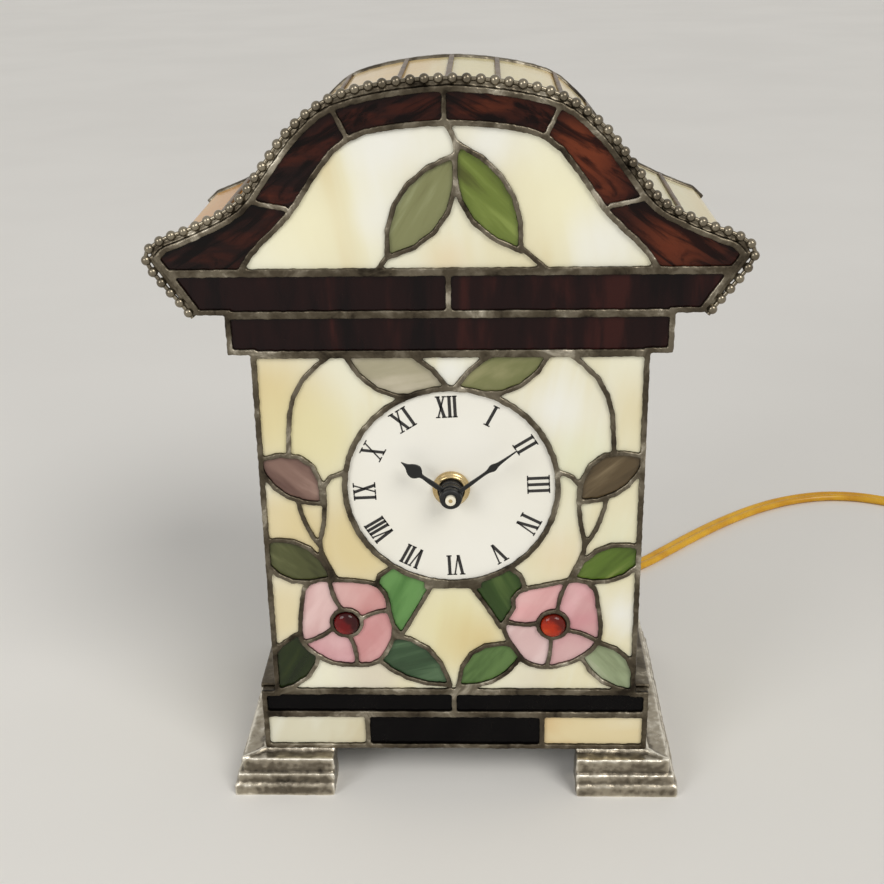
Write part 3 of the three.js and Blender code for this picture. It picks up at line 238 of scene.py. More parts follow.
def add(name, mesh, look, replaced=(), body="case"):
    piece = bpy.data.objects.new(name, mesh)
    SCENE.collection.objects.link(piece)
    mesh.materials.clear()
    mesh.materials.append(look.material)
    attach(piece, body)
    if replaced:
        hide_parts(*replaced)
    return piece


# Materials: colours are sRGB from 0 to 255, and a stop is (place, colour)

def colour(red, green, blue):
    """A colour as the linear values that shaders take."""
    def linear(value):
        value /= 255
        return value / 12.92 if value <= 0.04045 else ((value + 0.055) / 1.055) ** 2.4
    return (linear(red), linear(green), linear(blue), 1.0)


class Look:
    """A material with one principled shader and a few helpers to feed it."""

    MIX_INPUTS, MIX_OUTPUT = (0, 6, 7), 2

    def __init__(self, name, **sockets):
        self.material = bpy.data.materials.new(name)
        self.material.use_nodes = True
        self.tree = self.material.node_tree
        self.shader = self.tree.nodes["Principled BSDF"]
        for socket, value in sockets.items():
            self.shader.inputs[socket.replace("_", " ")].default_value = value
        self.place = self.node("ShaderNodeTexCoord").outputs["Object"]

    def give(self, socket, value):
        if isinstance(value, bpy.types.NodeSocket):
            self.tree.links.new(value, socket)
        else:
            socket.default_value = value

    def node(self, kind, inputs=None, **settings):
        made = self.tree.nodes.new(kind)
        for name, value in settings.items():
            setattr(made, name, value)
        for name, value in (inputs or {}).items():
            self.give(made.inputs[name], value)
        return made

    def math(self, operation, a, b=0.0, c=0.0):
        return self.node("ShaderNodeMath", {0: a, 1: b, 2: c}, operation=operation).outputs[0]

    def vector_math(self, operation, a, b=(0, 0, 0), result="Vector"):
        return self.node("ShaderNodeVectorMath", {0: a, 1: b}, operation=operation).outputs[result]

    def axes(self, vector):
        return self.node("ShaderNodeSeparateXYZ", {0: vector}).outputs

    def cloud(self, scale, detail=4.0, rough=0.55, distort=0.0, stretch=(1, 1, 1), turn=0.0,
              shift_m=(0, 0, 0)):
        """Noise, drawn out where stretch is below 1 and turned about the drawing's depth."""
        mapping = self.node("ShaderNodeMapping", {
            "Vector": self.place,
            "Location": shift_m,
            "Rotation": (0, math.radians(turn), 0),
            "Scale": [1 / s for s in stretch],
        }, vector_type="TEXTURE")
        texture = self.node("ShaderNodeTexNoise", {
            "Vector": mapping.outputs[0],
            "Scale": scale,
            "Detail": detail,
            "Roughness": rough,
            "Distortion": distort,
        })
        return texture.outputs["Fac"]

    def ramp(self, factor, stops, interpolation="EASE"):
        made = self.node("ShaderNodeValToRGB", {"Fac": factor})
        made.color_ramp.interpolation = interpolation
        elements = made.color_ramp.elements
        while len(elements) < len(stops):
            elements.new(1.0)
        for element, (position, value) in zip(elements, stops):
            element.position = position
            element.color = colour(*value)
        return made.outputs["Color"]

    def mix(self, factor, a, b, blend="MIX"):
        made = self.node("ShaderNodeMix", data_type="RGBA", blend_type=blend)
        for index, value in zip(self.MIX_INPUTS, (factor, a, b)):
            self.give(made.inputs[index], value)
        return made.outputs[self.MIX_OUTPUT]

    def span(self, value, low, high, start=0.0, end=1.0, kind="LINEAR"):
        """A value from start to end made one from low to high."""
        inputs = {"Value": value, "From Min": start, "From Max": end, "To Min": low, "To Max": high}
        return self.node("ShaderNodeMapRange", inputs, interpolation_type=kind).outputs[0]

    def feed(self, socket, value):
        self.tree.links.new(value, self.shader.inputs[socket])

    def fed(self, socket):
        """What feeds a socket of the shader so far."""
        return self.shader.inputs[socket].links[0].from_socket

    def bump(self, height, depth_m, strength):
        made = self.node("ShaderNodeBump", {"Height": height, "Distance": depth_m, "Strength": strength})
        self.feed("Normal", made.outputs[0])

    def rolled_face(self, stretch=(1, 1, 1), turn=0.0):
        """The gloss and the slight waves of rolled glass."""
        self.feed("Roughness", self.span(self.cloud(45.0, detail=3.0), 0.1, 0.24))
        waves = self.cloud(110.0, detail=2.0, rough=0.45, distort=0.4, stretch=stretch, turn=turn)
        self.bump(waves, depth_m=0.0005, strength=0.25)


BROAD_SHARE, FINE_SHARE, FINE_SCALE = 0.65, 0.35, 2.8
SWIRL_FROM, SWIRL_TO = 0.32, 0.68
PATCH_FRAY, PATCH_FULL, PATCH_END = 0.8, 0.35, 1.4


def glass(name, stops, scale=16.0, stretch=(1, 1, 0.45), turn=20.0, distort=1.1, shine=0.34, patches=()):
    """Rolled opal glass: clouds of colour drawn out one way, tinted patches and a slightly wavy face.

    A patch is (x, z, radius, colour, strength) on the front panel.
    """
    look = Look(f"{name}_glass", IOR=1.5, Specular_IOR_Level=shine)
    broad = look.cloud(scale, detail=5.0, distort=distort, stretch=stretch, turn=turn)
    narrow = [s * (0.5 if s < 1 else 1.0) for s in stretch]
    fine = look.cloud(FINE_SCALE * scale, detail=3.0, rough=0.5, distort=0.5 * distort,
                      stretch=narrow, turn=turn)
    both = look.math("MULTIPLY_ADD", broad, BROAD_SHARE, look.math("MULTIPLY", fine, FINE_SHARE))
    swirl = look.span(both, 0.0, 1.0, SWIRL_FROM, SWIRL_TO)
    tone = look.ramp(swirl, stops)
    for x, z, radius, tint, strength in patches:
        flat = look.vector_math("MULTIPLY", look.place, (1, 0, 1))
        away = look.vector_math("DISTANCE", flat, Vector((x, 0, z)) * MM, "Value")
        reach = radius * MM
        frayed = look.math("ADD", away, look.math("MULTIPLY", swirl, PATCH_FRAY * reach))
        share = look.span(frayed, strength, 0.0, PATCH_FULL * reach, PATCH_END * reach, "SMOOTHSTEP")
        tone = look.mix(share, tone, colour(*tint))
    look.feed("Base Color", tone)
    look.rolled_face((1, 1, 0.6), turn)
    return look


def leaf_glass(name, scale, drawn, turn, *tones, places=(0.05, 0.5, 0.95)):
    """Leaf glass: tones from dark to light, in clouds that are drawn out at a turn."""
    return glass(name, list(zip(places, tones)), scale, (1, 1, drawn), turn)


def metal(name, stops, rough, grain=420.0, depth_m=0.00012, metallic=0.9):
    """Metal with a clouded patina, between two roughnesses, and a fine grain."""
    look = Look(name, Metallic=metallic)
    patina = look.cloud(70.0, detail=6.0, rough=0.62, distort=0.5)
    look.feed("Base Color", look.ramp(patina, stops))
    look.feed("Roughness", look.span(look.cloud(140.0, rough=0.6, shift_m=(0.3, 0.1, 0.2)), *rough))
    look.bump(look.cloud(grain, rough=0.6), depth_m, strength=0.6)
    return look


def plastic(name, light, dark, rough=(0.38, 0.55), grain=900.0):
    look = Look(name, IOR=1.46)
    look.feed("Base Color", look.ramp(look.cloud(60.0, detail=3.0), [(0.3, dark), (0.7, light)]))
    look.feed("Roughness", look.span(look.cloud(200.0, detail=3.0), *rough))
    look.bump(look.cloud(grain, detail=2.0), depth_m=0.00004, strength=0.5)
    return look


# Cream, amber and black glass

CREAM = [(0.1, (241, 241, 230)), (0.4, (237, 234, 211)), (0.65, (232, 225, 192)), (0.92, (225, 209, 163))]
WHITE, STRAW, PEACH, LIME = (242, 242, 236), (221, 202, 148), (229, 204, 160), (230, 231, 200)
BUTTER, SHADED_TAN, IVORY, PEARL = (229, 220, 172), (208, 148, 76), (243, 238, 204), (219, 209, 188)
body_cream = glass("body_cream", CREAM,scale=17.0, stretch=(1, 1, 0.28), turn=6.0, patches=[
    (-66, 164, 32, STRAW, 0.9), (-34, 108, 34, STRAW, 0.9), (-64, 116, 20, STRAW, 0.75),
    (-67, 78, 24, STRAW, 0.7), (0, 72, 38, BUTTER, 0.9), (10, 66, 18, STRAW, 0.9),
    (66, 162, 20, STRAW, 0.4), (-48, 150, 26, BUTTER, 0.85), (36, 162, 26, WHITE, 0.85),
    (46, 142, 20, LIME, 0.7), (40, 102, 20, PEACH, 0.45), (62, 112, 16, LIME, 0.5),
    (0, 176, 10, WHITE, 0.8), (64, 78, 18, WHITE, 0.9), (-30, 50, 20, PEARL, 0.8), (32, 50, 16, PEARL, 0.5),
])
pediment_cream = glass("pediment_cream", CREAM,scale=14.0, stretch=(1, 1, 0.28), turn=-12.0, patches=[
    (-46, 230, 34, IVORY, 0.9), (-18, 256, 24, WHITE, 0.85), (0, 216, 13, PEACH, 0.5),
    (-24, 232, 15, WHITE, 0.6), (38, 236, 34, IVORY, 0.9), (52, 222, 20, WHITE, 0.7),
    (14, 256, 18, WHITE, 0.75),
])
ROOF = [(0.1, (238, 219, 172)), (0.5, (226, 195, 136)), (0.9, (208, 164, 98))]
# The tan patch on the roof's left wing is the glass's warm tone, deepened as painted shade.
cream_roof = glass("cream_roof", ROOF,scale=20.0, stretch=(1, 0.12, 1), turn=0.0, shine=0.06, patches=[
    (-86, 224, 34, SHADED_TAN, 0.9), (-36, 270, 24, PEACH, 0.7), (14, 274, 30, BUTTER, 0.8),
    (78, 230, 40, LIME, 0.7),
])
COOL_CREAM = [(0.1, (228, 226, 208)), (0.5, (219, 214, 189)), (0.9, (210, 199, 166))]
cream_left = glass("cream_left", COOL_CREAM,scale=22.0)
WARM_CREAM = [(0.1, (234, 226, 198)), (0.5, (228, 212, 168)), (0.9, (220, 190, 138))]
cream_right = glass("cream_right", WARM_CREAM,scale=24.0, stretch=(0.35, 1, 1), turn=0.0)
AMBER = [(0.1, (14, 9, 10)), (0.45, (32, 15, 13)), (0.7, (58, 24, 16)), (0.95, (90, 41, 24))]
RUST, UMBER = (146, 70, 40), (28, 12, 9)


def streaked_amber():
    """Dark amber glass with fine darker streaks that fall to both sides, as the arch does."""
    patches = [
        (46, 250, 26, RUST, 0.5), (76, 222, 24, RUST, 0.38), (16, 266, 24, UMBER, 0.5),
        (-79, 218, 30, UMBER, 0.5),
    ]
    look = glass("amber", AMBER,scale=34.0, stretch=(0.5, 1, 1.1), turn=0.0, distort=1.8, shine=0.16,
                 patches=patches)
    clouds = look.fed("Base Color")
    look.place = look.vector_math("ABSOLUTE", look.place)
    fine = look.cloud(150.0, detail=6.0, rough=0.62, distort=1.2, stretch=(0.25, 1, 1), turn=30.0)
    streak = look.ramp(fine, [(0.38, (105, 88, 88)), (0.56, (255, 255, 255))])
    look.feed("Base Color", look.mix(1.0, clouds, streak, "MULTIPLY"))
    return look


amber = streaked_amber()
PURPLE = [(0.1, (13, 5, 6)), (0.5, (28, 11, 11)), (0.9, (52, 22, 19))]
amber_band = glass("amber_band", PURPLE,scale=60.0, stretch=(1, 1, 0.25), turn=0.0, distort=0.6, shine=0.16)
black = glass("black", [(0.1, (4, 3, 4)), (0.9, (11, 9, 9))], scale=20.0, shine=0.08)

# Leaf glass: the scale of its clouds, their stretch, their turn in degrees and their tones

pediment_left = leaf_glass("pediment_left", 42.0, 0.25, 34.0, (102, 100, 62), (130, 132, 90), (157, 161, 121),
                           (190, 190, 158), places=(0.05, 0.4, 0.7, 0.95))
pediment_right = leaf_glass("pediment_right", 60.0, 0.16, -42.0, (78, 82, 34), (105, 120, 50), (132, 147, 73),
                            (186, 184, 138), places=(0.05, 0.35, 0.65, 0.95))
top_left = leaf_glass("top_left", 44.0, 0.2, 78.0, (134, 127, 103), (168, 161, 135), (198, 189, 167))
top_right = leaf_glass("top_right", 40.0, 0.25, 60.0, (81, 85, 45), (115, 118, 74), (152, 149, 107))
plum = leaf_glass("plum", 64.0, 0.2, -52.0, (100, 74, 66), (132, 104, 93), (168, 140, 127))
brown = leaf_glass("brown", 70.0, 0.18, 52.0, (58, 48, 30), (89, 74, 51), (129, 113, 86))
dark_olive = leaf_glass("dark_olive", 44.0, 0.35, -50.0, (51, 53, 26), (78, 81, 47), (110, 113, 75))
grass = leaf_glass("grass", 60.0, 0.2, 52.0, (62, 79, 22), (89, 113, 40), (140, 153, 80))
bright_green = leaf_glass("bright_green", 44.0, 0.3, 30.0, (76, 121, 59), (102, 147, 82), (154, 176, 131))
bottle = leaf_glass("bottle", 56.0, 0.2, -26.0, (31, 48, 13), (49, 73, 26), (86, 107, 54))
moss = leaf_glass("moss", 44.0, 0.4, 30.0, (18, 26, 5), (29, 41, 9), (52, 62, 22))
teal = leaf_glass("teal", 66.0, 0.18, 80.0, (36, 51, 31), (54, 78, 52), (84, 110, 79), (136, 152, 122),
                  places=(0.05, 0.45, 0.75, 0.97))
leek = leaf_glass("leek", 54.0, 0.2, 40.0, (63, 89, 44), (94, 123, 68), (138, 158, 104))
pale_green = leaf_glass("pale_green", 54.0, 0.2, -36.0, (121, 131, 98), (152, 164, 129), (186, 191, 163))

# Metal, plastic and paint

SOLDER = [(0.32, (44, 38, 30)), (0.46, (82, 74, 61)), (0.58, (114, 106, 91)), (0.7, (180, 172, 155))]
FOOT_SHADE_SPAN = 4.0


def run_solder(name):
    return metal(name, SOLDER, rough=(0.22, 0.48), grain=320.0, depth_m=0.0003)


def front_solder():
    """Patinated solder, darkest along its foot where it meets the glass: painted contact shade there, with
    some oxide.
    """
    look = run_solder("solder")
    patina = look.fed("Base Color")
    away = look.math("ABSOLUTE", look.math("SUBTRACT", look.axes(look.place)[1], at(0, GLASS / 2, 0).y))
    share = look.math("MULTIPLY", away, 1 / (FOOT_SHADE_SPAN * MM))
    # Painted shade: a dark band where the solder meets the glass on either face, standing for contact shade,
    # with some oxide.
    unshaded, dark = (255, 255, 255), (108, 102, 94)
    foot = look.ramp(share, [(0.33, unshaded), (0.4, dark), (0.48, dark), (0.6, unshaded)])
    look.feed("Base Color", look.mix(1.0, patina, foot, "MULTIPLY"))
    return look


solder = front_solder()
rim_solder = run_solder("rim_solder")
OLD_TIN = [(0.3, (84, 68, 52)), (0.55, (122, 102, 80)), (0.8, (160, 142, 116))]
roof_solder = metal("roof_solder", OLD_TIN, rough=(0.3, 0.5))
BEAD_TIN = [(0.3, (88, 80, 67)), (0.7, (146, 137, 119))]
bead_metal = metal("bead_metal", BEAD_TIN, rough=(0.17, 0.3), grain=600.0, depth_m=0.00006)
PALE_BRASS = [(0.25, (180, 152, 102)), (0.55, (208, 184, 136)), (0.8, (228, 210, 172))]
brass = metal("brass", PALE_BRASS, rough=(0.18, 0.32), grain=700.0, depth_m=0.00004, metallic=1.0)
GREY_STEEL = [(0.3, (150, 150, 147)), (0.7, (182, 182, 178))]
steel = metal("steel", GREY_STEEL, rough=(0.3, 0.45), grain=800.0, depth_m=0.00004, metallic=1.0)
black_paint = plastic("black_paint", (17, 17, 17), (8, 8, 8), (0.36, 0.52))
black_plastic = plastic("black_plastic", (30, 30, 32), (20, 20, 22))
cream_plastic = plastic("cream_plastic", (236, 230, 210), (226, 218, 194))
tip_plastic = plastic("tip_plastic", (240, 234, 214), (228, 220, 196), (0.25, 0.4))
cell = plastic("cell_wrap", (70, 70, 78), (52, 52, 58), (0.25, 0.4))
gold_cord = plastic("gold_cord", (226, 174, 36), (204, 146, 20), (0.2, 0.34), 500.0)
print_ink = plastic("dial_print", (46, 44, 42), (34, 33, 32), (0.5, 0.65))
bulb_look = plastic("frosted_glass", (240, 236, 224), (232, 226, 210), (0.22, 0.36), 1400.0)


PATINA_SHARE, WEAR_HIGHLIGHT_SHARE, TOP_LIGHT_SHARE = 0.55, 0.45, 0.08


def cast_metal():
    """Cast pewter: dark with patina in its hollows and grooves, bright along its worn edges, partly as a
    painted highlight, and a little lighter on faces that look up, as painted light from above.
    """
    look = Look("pewter", Metallic=0.88)
    patina = look.cloud(60.0, detail=7.0, rough=0.65, distort=0.6)
    surface = look.node("ShaderNodeNewGeometry").outputs
    # Patina darkens the grooves; the bright edges are wear with a painted highlight.
    worn_edge_highlight = look.span(surface["Pointiness"], 0.0, 1.0, start=0.44, end=0.56)
    # Painted light: faces that look up are made lighter, as if lit from above.
    painted_top_light = look.math("MAXIMUM", look.axes(surface["Normal"])[2], 0.0)
    mixed = look.math("MULTIPLY_ADD", patina, PATINA_SHARE, look.math("MULTIPLY", worn_edge_highlight, WEAR_HIGHLIGHT_SHARE))
    mixed = look.math("MULTIPLY_ADD", painted_top_light, TOP_LIGHT_SHARE, mixed)
    stops = [(0.3, (50, 45, 38)), (0.44, (106, 98, 85)), (0.58, (166, 157, 140)), (0.74, (232, 226, 211))]
    look.feed("Base Color", look.ramp(mixed, stops))
    look.feed("Roughness", look.span(look.cloud(150.0), 0.2, 0.44))
    look.bump(look.cloud(260.0, detail=5.0, rough=0.65), depth_m=0.0005, strength=0.7)
    return look


def dial_face():
    look = Look("dial_face", IOR=1.45, Specular_IOR_Level=0.3)
    stops = [(0.3, (243, 241, 232)), (0.7, (238, 235, 223))]
    look.feed("Base Color", look.ramp(look.cloud(18.0, detail=3.0), stops))
    look.feed("Roughness", look.span(look.cloud(80.0, detail=3.0), 0.3, 0.42))
    look.bump(look.cloud(260.0, detail=2.0), depth_m=0.00003, strength=0.4)
    return look


pewter = cast_metal()
dial_white = dial_face()


# Flowers and jewels

PALE_PINK = (236, 214, 210)


def petals(name, centre, seams, tones):
    """Opal petals: one tone between each two seams round the jewel, in degrees, clouded alike."""
    look = Look(name, IOR=1.5, Specular_IOR_Level=0.38)
    x, _, z = look.axes(look.place)
    middle = at(centre[0], 0, centre[1])
    angle = look.math("ARCTAN2", look.math("SUBTRACT", z, middle.z), look.math("SUBTRACT", x, middle.x))
    turn = look.math("MULTIPLY_ADD", angle, 0.5 / math.pi, 0.5)
    starts = [s / 360 + 0.5 for s in seams]
    tone = look.ramp(turn, [(0.0, tones[-1]), *zip(starts, tones)], "CONSTANT")
    share = look.span(look.cloud(30.0, rough=0.5, distort=1.2), 0.0, 0.45, start=0.35, end=0.68)
    fine = look.cloud(80.0, rough=0.5, distort=0.8, stretch=(1, 1, 0.3), turn=40.0)
    streak = look.ramp(fine, [(0.3, (236, 222, 220)), (0.7, (255, 252, 250))])
    clouded = look.mix(share, tone, colour(*PALE_PINK))
    look.feed("Base Color", look.mix(1.0, clouded, streak, "MULTIPLY"))
    look.rolled_face()
    return look


left_petals = petals("left_petals", LEFT_JEWEL, (-152.9, -80.2, 18.2, 107.2),
                     [(221, 170, 178), (218, 158, 160), (213, 152, 151), (227, 190, 190)])
right_petals = petals("right_petals", RIGHT_JEWEL, (-98.0, -23.2, 74.5, 175.6),
                      [(221, 177, 182), (224, 172, 178), (231, 177, 179), (234, 210, 210)])

# Where the painted glow of light through each jewel sits, off its middle.
JEWEL_PAINTED_GLOW = Vector((-1.6, 0, -1.2))
JEWEL_FALL_PER_M = 150.0


def jewel_look(name, stops, centre):
    """Pressed glass that darkens away from a painted glow of light through it, set off its middle."""
    look = Look(name, IOR=1.5, Roughness=0.08, Specular_IOR_Level=0.3)
    middle = at(centre[0], 0, centre[1]) + JEWEL_PAINTED_GLOW * MM
    away = look.vector_math("DISTANCE", look.place, middle, "Value")
    facets = look.math("MULTIPLY", look.cloud(300.0, detail=2.0, rough=0.5, distort=0.6), 0.3)
    look.feed("Base Color", look.ramp(look.math("MULTIPLY_ADD", away, JEWEL_FALL_PER_M, facets), stops))
    look.bump(look.cloud(200.0, detail=1.0), depth_m=0.0003, strength=0.4)
    return look


RUBY = [(0.45, (150, 14, 18)), (0.75, (104, 6, 10)), (1.1, (52, 4, 6))]
ORANGE = [(0.45, (222, 84, 16)), (0.75, (176, 44, 10)), (1.1, (96, 18, 6))]
ruby = jewel_look("ruby_glass", RUBY, LEFT_JEWEL)
orange = jewel_look("orange_glass", ORANGE, RIGHT_JEWEL)


# Side walls

SIDE_BAND_LOW, SIDE_BAND_TOP = 33.0, 43.8
BAND_SPAN = 300.0


def side_panels():
    """The side walls: cream with the plinth's black band and the amber frieze carried round."""
    look = glass("side", CREAM, scale=11.0)
    height = look.axes(look.place)[2]
    off, on = (0, 0, 0), (255, 255, 255)
    band = look.ramp(look.math("MULTIPLY", height, 1 / (BAND_SPAN * MM)), [
        (0.0, off), (SIDE_BAND_LOW / BAND_SPAN, on), (SIDE_BAND_TOP / BAND_SPAN, off),
    ], "CONSTANT")
    frieze = look.math("GREATER_THAN", height, BODY_TOP * MM)
    dark = look.ramp(look.cloud(20.0), [(0.3, (8, 7, 8)), (0.7, (20, 17, 17))])
    streaks = look.ramp(look.cloud(30.0, detail=5.0, rough=0.5, distort=1.6), AMBER)
    low = look.mix(band, look.fed("Base Color"), dark)
    look.feed("Base Color", look.mix(frieze, low, streaks))
    return look


walls = side_panels()

PAINT = {
    "pediment_border_glass": amber, "pediment_band_glass": amber_band, "frieze_glass": amber_band,
    "pediment_ground_glass": pediment_cream, "body_ground_glass": body_cream, "plinth_black_glass": black,
    "roof_glass": cream_roof, "dial": dial_white, "hour_wheel": cream_plastic, "minute_arbor": tip_plastic,
}
PAIRS = {
    "pediment_leaf": (pediment_left, pediment_right), "top_leaf": (top_left, top_right),
    "plum_leaf": (plum, brown), "side_leaf": (dark_olive, grass), "dial_leaf": (bright_green, bottle),
    "outer_leaf": (moss, pale_green), "inner_leaf": (teal, leek), "flower": (left_petals, right_petals),
    "plinth_cream": (cream_left, cream_right), "side_glass": (walls, walls),
}
for node, (left, right) in PAIRS.items():
    PAINT[f"{node}_left"] = left
    PAINT[f"{node}_right"] = right
for node, look in PAINT.items():
    materials = NODES[node].data.materials
    materials.clear()
    materials.append(look.material)


# Cord: a flat twin lead from the strain relief through the switch to the coil and the plug

CORD_WIDTH, CORD_THICKNESS = 7.4, 3.7
CORD_REST = CORD_THICKNESS / 2 + 0.1
CORD_STEP = 2.4
LOBE_REACH, LOBE_STEP = 144, 24
RELIEF_X, RELIEF_Z = 40.0, 30.0
RELIEF_END = 120.3
SWITCH_AT = (280.0, 226.2)
SWITCH_Z = 7.0
SWITCH_LENGTH = 58.0
HEADING = math.radians(-50)
FALL = [
    (RELIEF_X, RELIEF_END + GAP, RELIEF_Z), (RELIEF_X, 128.0, RELIEF_Z), (41.6, 136.3, 27.6),
    (46.5, 146.3, 21.0), (55.5, 155.3, 12.6), (68, 164, 6), (82, 172.5, 2.6),
]
ON_FLOOR = [
    (96, 183.3), (109.5, 196.5), (124, 211.2), (146, 231.5), (170, 249.5), (189.5, 259.5), (210, 264.6),
    (228, 263.4), (245, 257),
]
RISE = [(259, 247.8, 2.6), (268, 239.2, 5)]
ROUTE_STEPS = 12
COIL_RADIUS, COIL_PITCH, COIL_LAYER = 54.0, 8.1, 4.4
COIL_LEAD, COIL_TAIL = 38.0, 38.0
TURNS_IN, TURNS_BACK, TURNS_OUT, REVERSE_STEP = 3.0, 0.5, 1.65, 1.1
LEAD_STEPS, TURN_STEPS = 16, 72


def from_switch(run, side, z):
    """A point in the switch's own frame, whose x runs along the cord, as a point of the drawing."""
    c, s = math.cos(HEADING), math.sin(HEADING)
    return Vector((SWITCH_AT[0] + run * c - side * s, SWITCH_AT[1] + run * s + side * c, z))


def coil_point(turn):
    """A point of the coil, which winds in on the floor, climbs a layer and winds out again."""
    after = turn - TURNS_IN
    radius = COIL_RADIUS - COIL_PITCH * turn
    if after > 0:
        first_half = 2 * REVERSE_STEP * min(after, TURNS_BACK)
        radius = COIL_RADIUS - COIL_PITCH * TURNS_IN + COIL_PITCH * (first_half + max(after - TURNS_BACK, 0))
    climb = min(max((after + TURNS_BACK) / TURNS_BACK, 0), 1)
    angle = 2 * math.pi * turn
    run = SWITCH_LENGTH + GAP + COIL_LEAD + radius * math.sin(angle)
    return from_switch(run, -COIL_RADIUS + radius * math.cos(angle), CORD_REST + COIL_LAYER * climb)


def cord_line():
    lying = [(x, y, CORD_REST) for x, y in ON_FLOOR]
    entry = [from_switch(-CORD_WIDTH, 0, SWITCH_Z), from_switch(-GAP, 0, SWITCH_Z)]
    line = spline([*FALL, *lying, *RISE, *entry], ROUTE_STEPS, ROOTED)
    for i in range(LEAD_STEPS):
        run = COIL_LEAD * i / LEAD_STEPS
        share = min(max((run - CORD_WIDTH) / (COIL_LEAD - 2 * CORD_WIDTH), 0), 1)
        drop = share * share * (3 - 2 * share)
        line.append(from_switch(SWITCH_LENGTH + GAP + run, 0, SWITCH_Z + (CORD_REST - SWITCH_Z) * drop))
    turns = TURNS_IN + TURNS_BACK + TURNS_OUT
    steps = round(turns * TURN_STEPS)
    line += [coil_point(turns * i / steps) for i in range(steps + 1)]
    last = (line[-1] - line[-2]).normalized()
    last.z = 0
    line.append(line[-1] + last.normalized() * COIL_TAIL)
    return line


def twin_section():
    """Two round wires side by side, with a groove between them."""
    wire = CORD_THICKNESS / 2
    lobe = [math.radians(a) for a in range(-LOBE_REACH, LOBE_REACH + 1, LOBE_STEP)]
    right = [(wire + wire * math.cos(a), wire * math.sin(a)) for a in lobe]
    left = [(-x, -y) for x, y in right]
    return [(x * MM, y * MM) for x, y in right + left]


def twin_cord(name, path, replaced):
    mesh = smooth(tube(name, path, twin_section()), crisp=60)
    return add(name, mesh, gold_cord, replaced)


line = cord_line()
length = length_of(line)
cord_path = [at(*p) for p in spaced(line, round(length / CORD_STEP))]
cord = twin_cord("power_cord", cord_path, ("cord_run", "cord_coil"))

INNER_ROUTE = [(40, 87.2, 30), (39, 76.5, 31), (30, 70, 36), (25, 60, 54), (13.3, 58, 56)]
INNER_STEPS = 36
inner_path = [at(*p) for p in spaced(spline(INNER_ROUTE, ROUTE_STEPS, ROOTED), INNER_STEPS)]
twin_cord("inner_cord", inner_path, ("inner_lead",))

RIBS, RIB_START, RIB_PITCH, RIB_RADIUS, RIB_TAPER, RIB_HEIGHT = 7, -24.6, 3.4, 5.9, 0.16, 0.5
GROOVE_END, RIB_FROM, RIB_TO = 0.9, 1.1, 2.6
RELIEF = [
    (0, -34.1), (5.6, -34.1), (6, -33.7), (6, -28.1), (6.8, -28), (7.2, -27.6), (7.2, -25.9), (6.8, -25.5),
    (6.1, -25.4),
]
for rib in range(RIBS):
    start = RIB_START + RIB_PITCH * rib
    radius = RIB_RADIUS - RIB_TAPER * rib
    groove = radius - RIB_HEIGHT
    RELIEF += [(groove, start), (groove, start + GROOVE_END)]
    RELIEF += [(radius, start + RIB_FROM), (radius, start + RIB_TO)]
RELIEF += [(4.8, -0.3), (4.5, 0), (0, 0)]
relief_mesh = smooth(lathe("cord_relief", RELIEF, (RELIEF_X, RELIEF_END, RELIEF_Z), "Y"), crisp=40)
relief = add("cord_relief", relief_mesh, gold_cord, ("strain_relief",))

NODE_WELD_M = 1e-6
FLAT, EDGE, CRISP = 1, 30, 45


def eased(node, name, look, width, segments=2, body="case"):
    """A copy of a node's shape with its sharp edges rounded."""
    mesh = NODES[node].data.copy()
    mesh.name = name
    work = bmesh.new()
    work.from_mesh(mesh)
    bmesh.ops.remove_doubles(work, verts=work.verts, dist=NODE_WELD_M)
    bmesh.ops.dissolve_limit(work, angle_limit=math.radians(FLAT), verts=work.verts, edges=work.edges)
    limit = math.radians(EDGE)
    sharp = [e for e in work.edges if len(e.link_faces) == 2 and e.calc_face_angle(0) > limit]
    bmesh.ops.bevel(work, geom=sharp, offset=width * MM, offset_type="OFFSET", segments=segments, profile=0.5,
                    affect="EDGES", clamp_overlap=True)
    bmesh.ops.recalc_face_normals(work, faces=work.faces)
    work.to_mesh(mesh)
    work.free()
    return add(name, smooth(mesh, CRISP), look, (node,), body)


switch = eased("switch_body", "cord_switch", gold_cord, width=1.6, segments=3)
rocker = eased("switch_rocker", "cord_switch_rocker", black_plastic, width=0.6, segments=3,
               body="rocker")
plug = eased("plug_body", "cord_plug", gold_cord, width=2.2, segments=3)
blades = [eased(f"plug_blade_{side}", f"cord_plug_blade_{side}", brass, width=0.35)
          for side in ("left", "right")]


# Solder: the leading of the front, the roof and the back, swelled and rounded as run solder is

ARCH_SHARES = [(1, 0), (0.964, 0.065), (0.85, 0.145), (0.695, 0.29), (0.6, 0.5), (0.49, 0.74), (0.34, 0.915)]
SIDE = [
    (PLINTH_HALF, PANEL_LOW), (PLINTH_HALF, PLINTH_TOP), (BODY_HALF_LOW, PLINTH_TOP),
    (BODY_HALF_HIGH, BODY_TOP), (FRIEZE_HALF, BODY_TOP), (FRIEZE_HALF, FRIEZE_TOP), (BAND_HALF, FRIEZE_TOP),
]
SUNK = 0.9
EDGE_WIDTH, EDGE_FRONT, EDGE_BACK = 1.3, -0.9, GLASS + 0.5
FLANGE_RADIUS, FLANGE_OUT, FLANGE_Y = 1.1, 1.0, 1.4
PANEL_STEPS, EAVES_STEPS = 4, 6
FINE_LUMP_SIZE, FINE_LUMP_SHARE = 0.4, 0.5

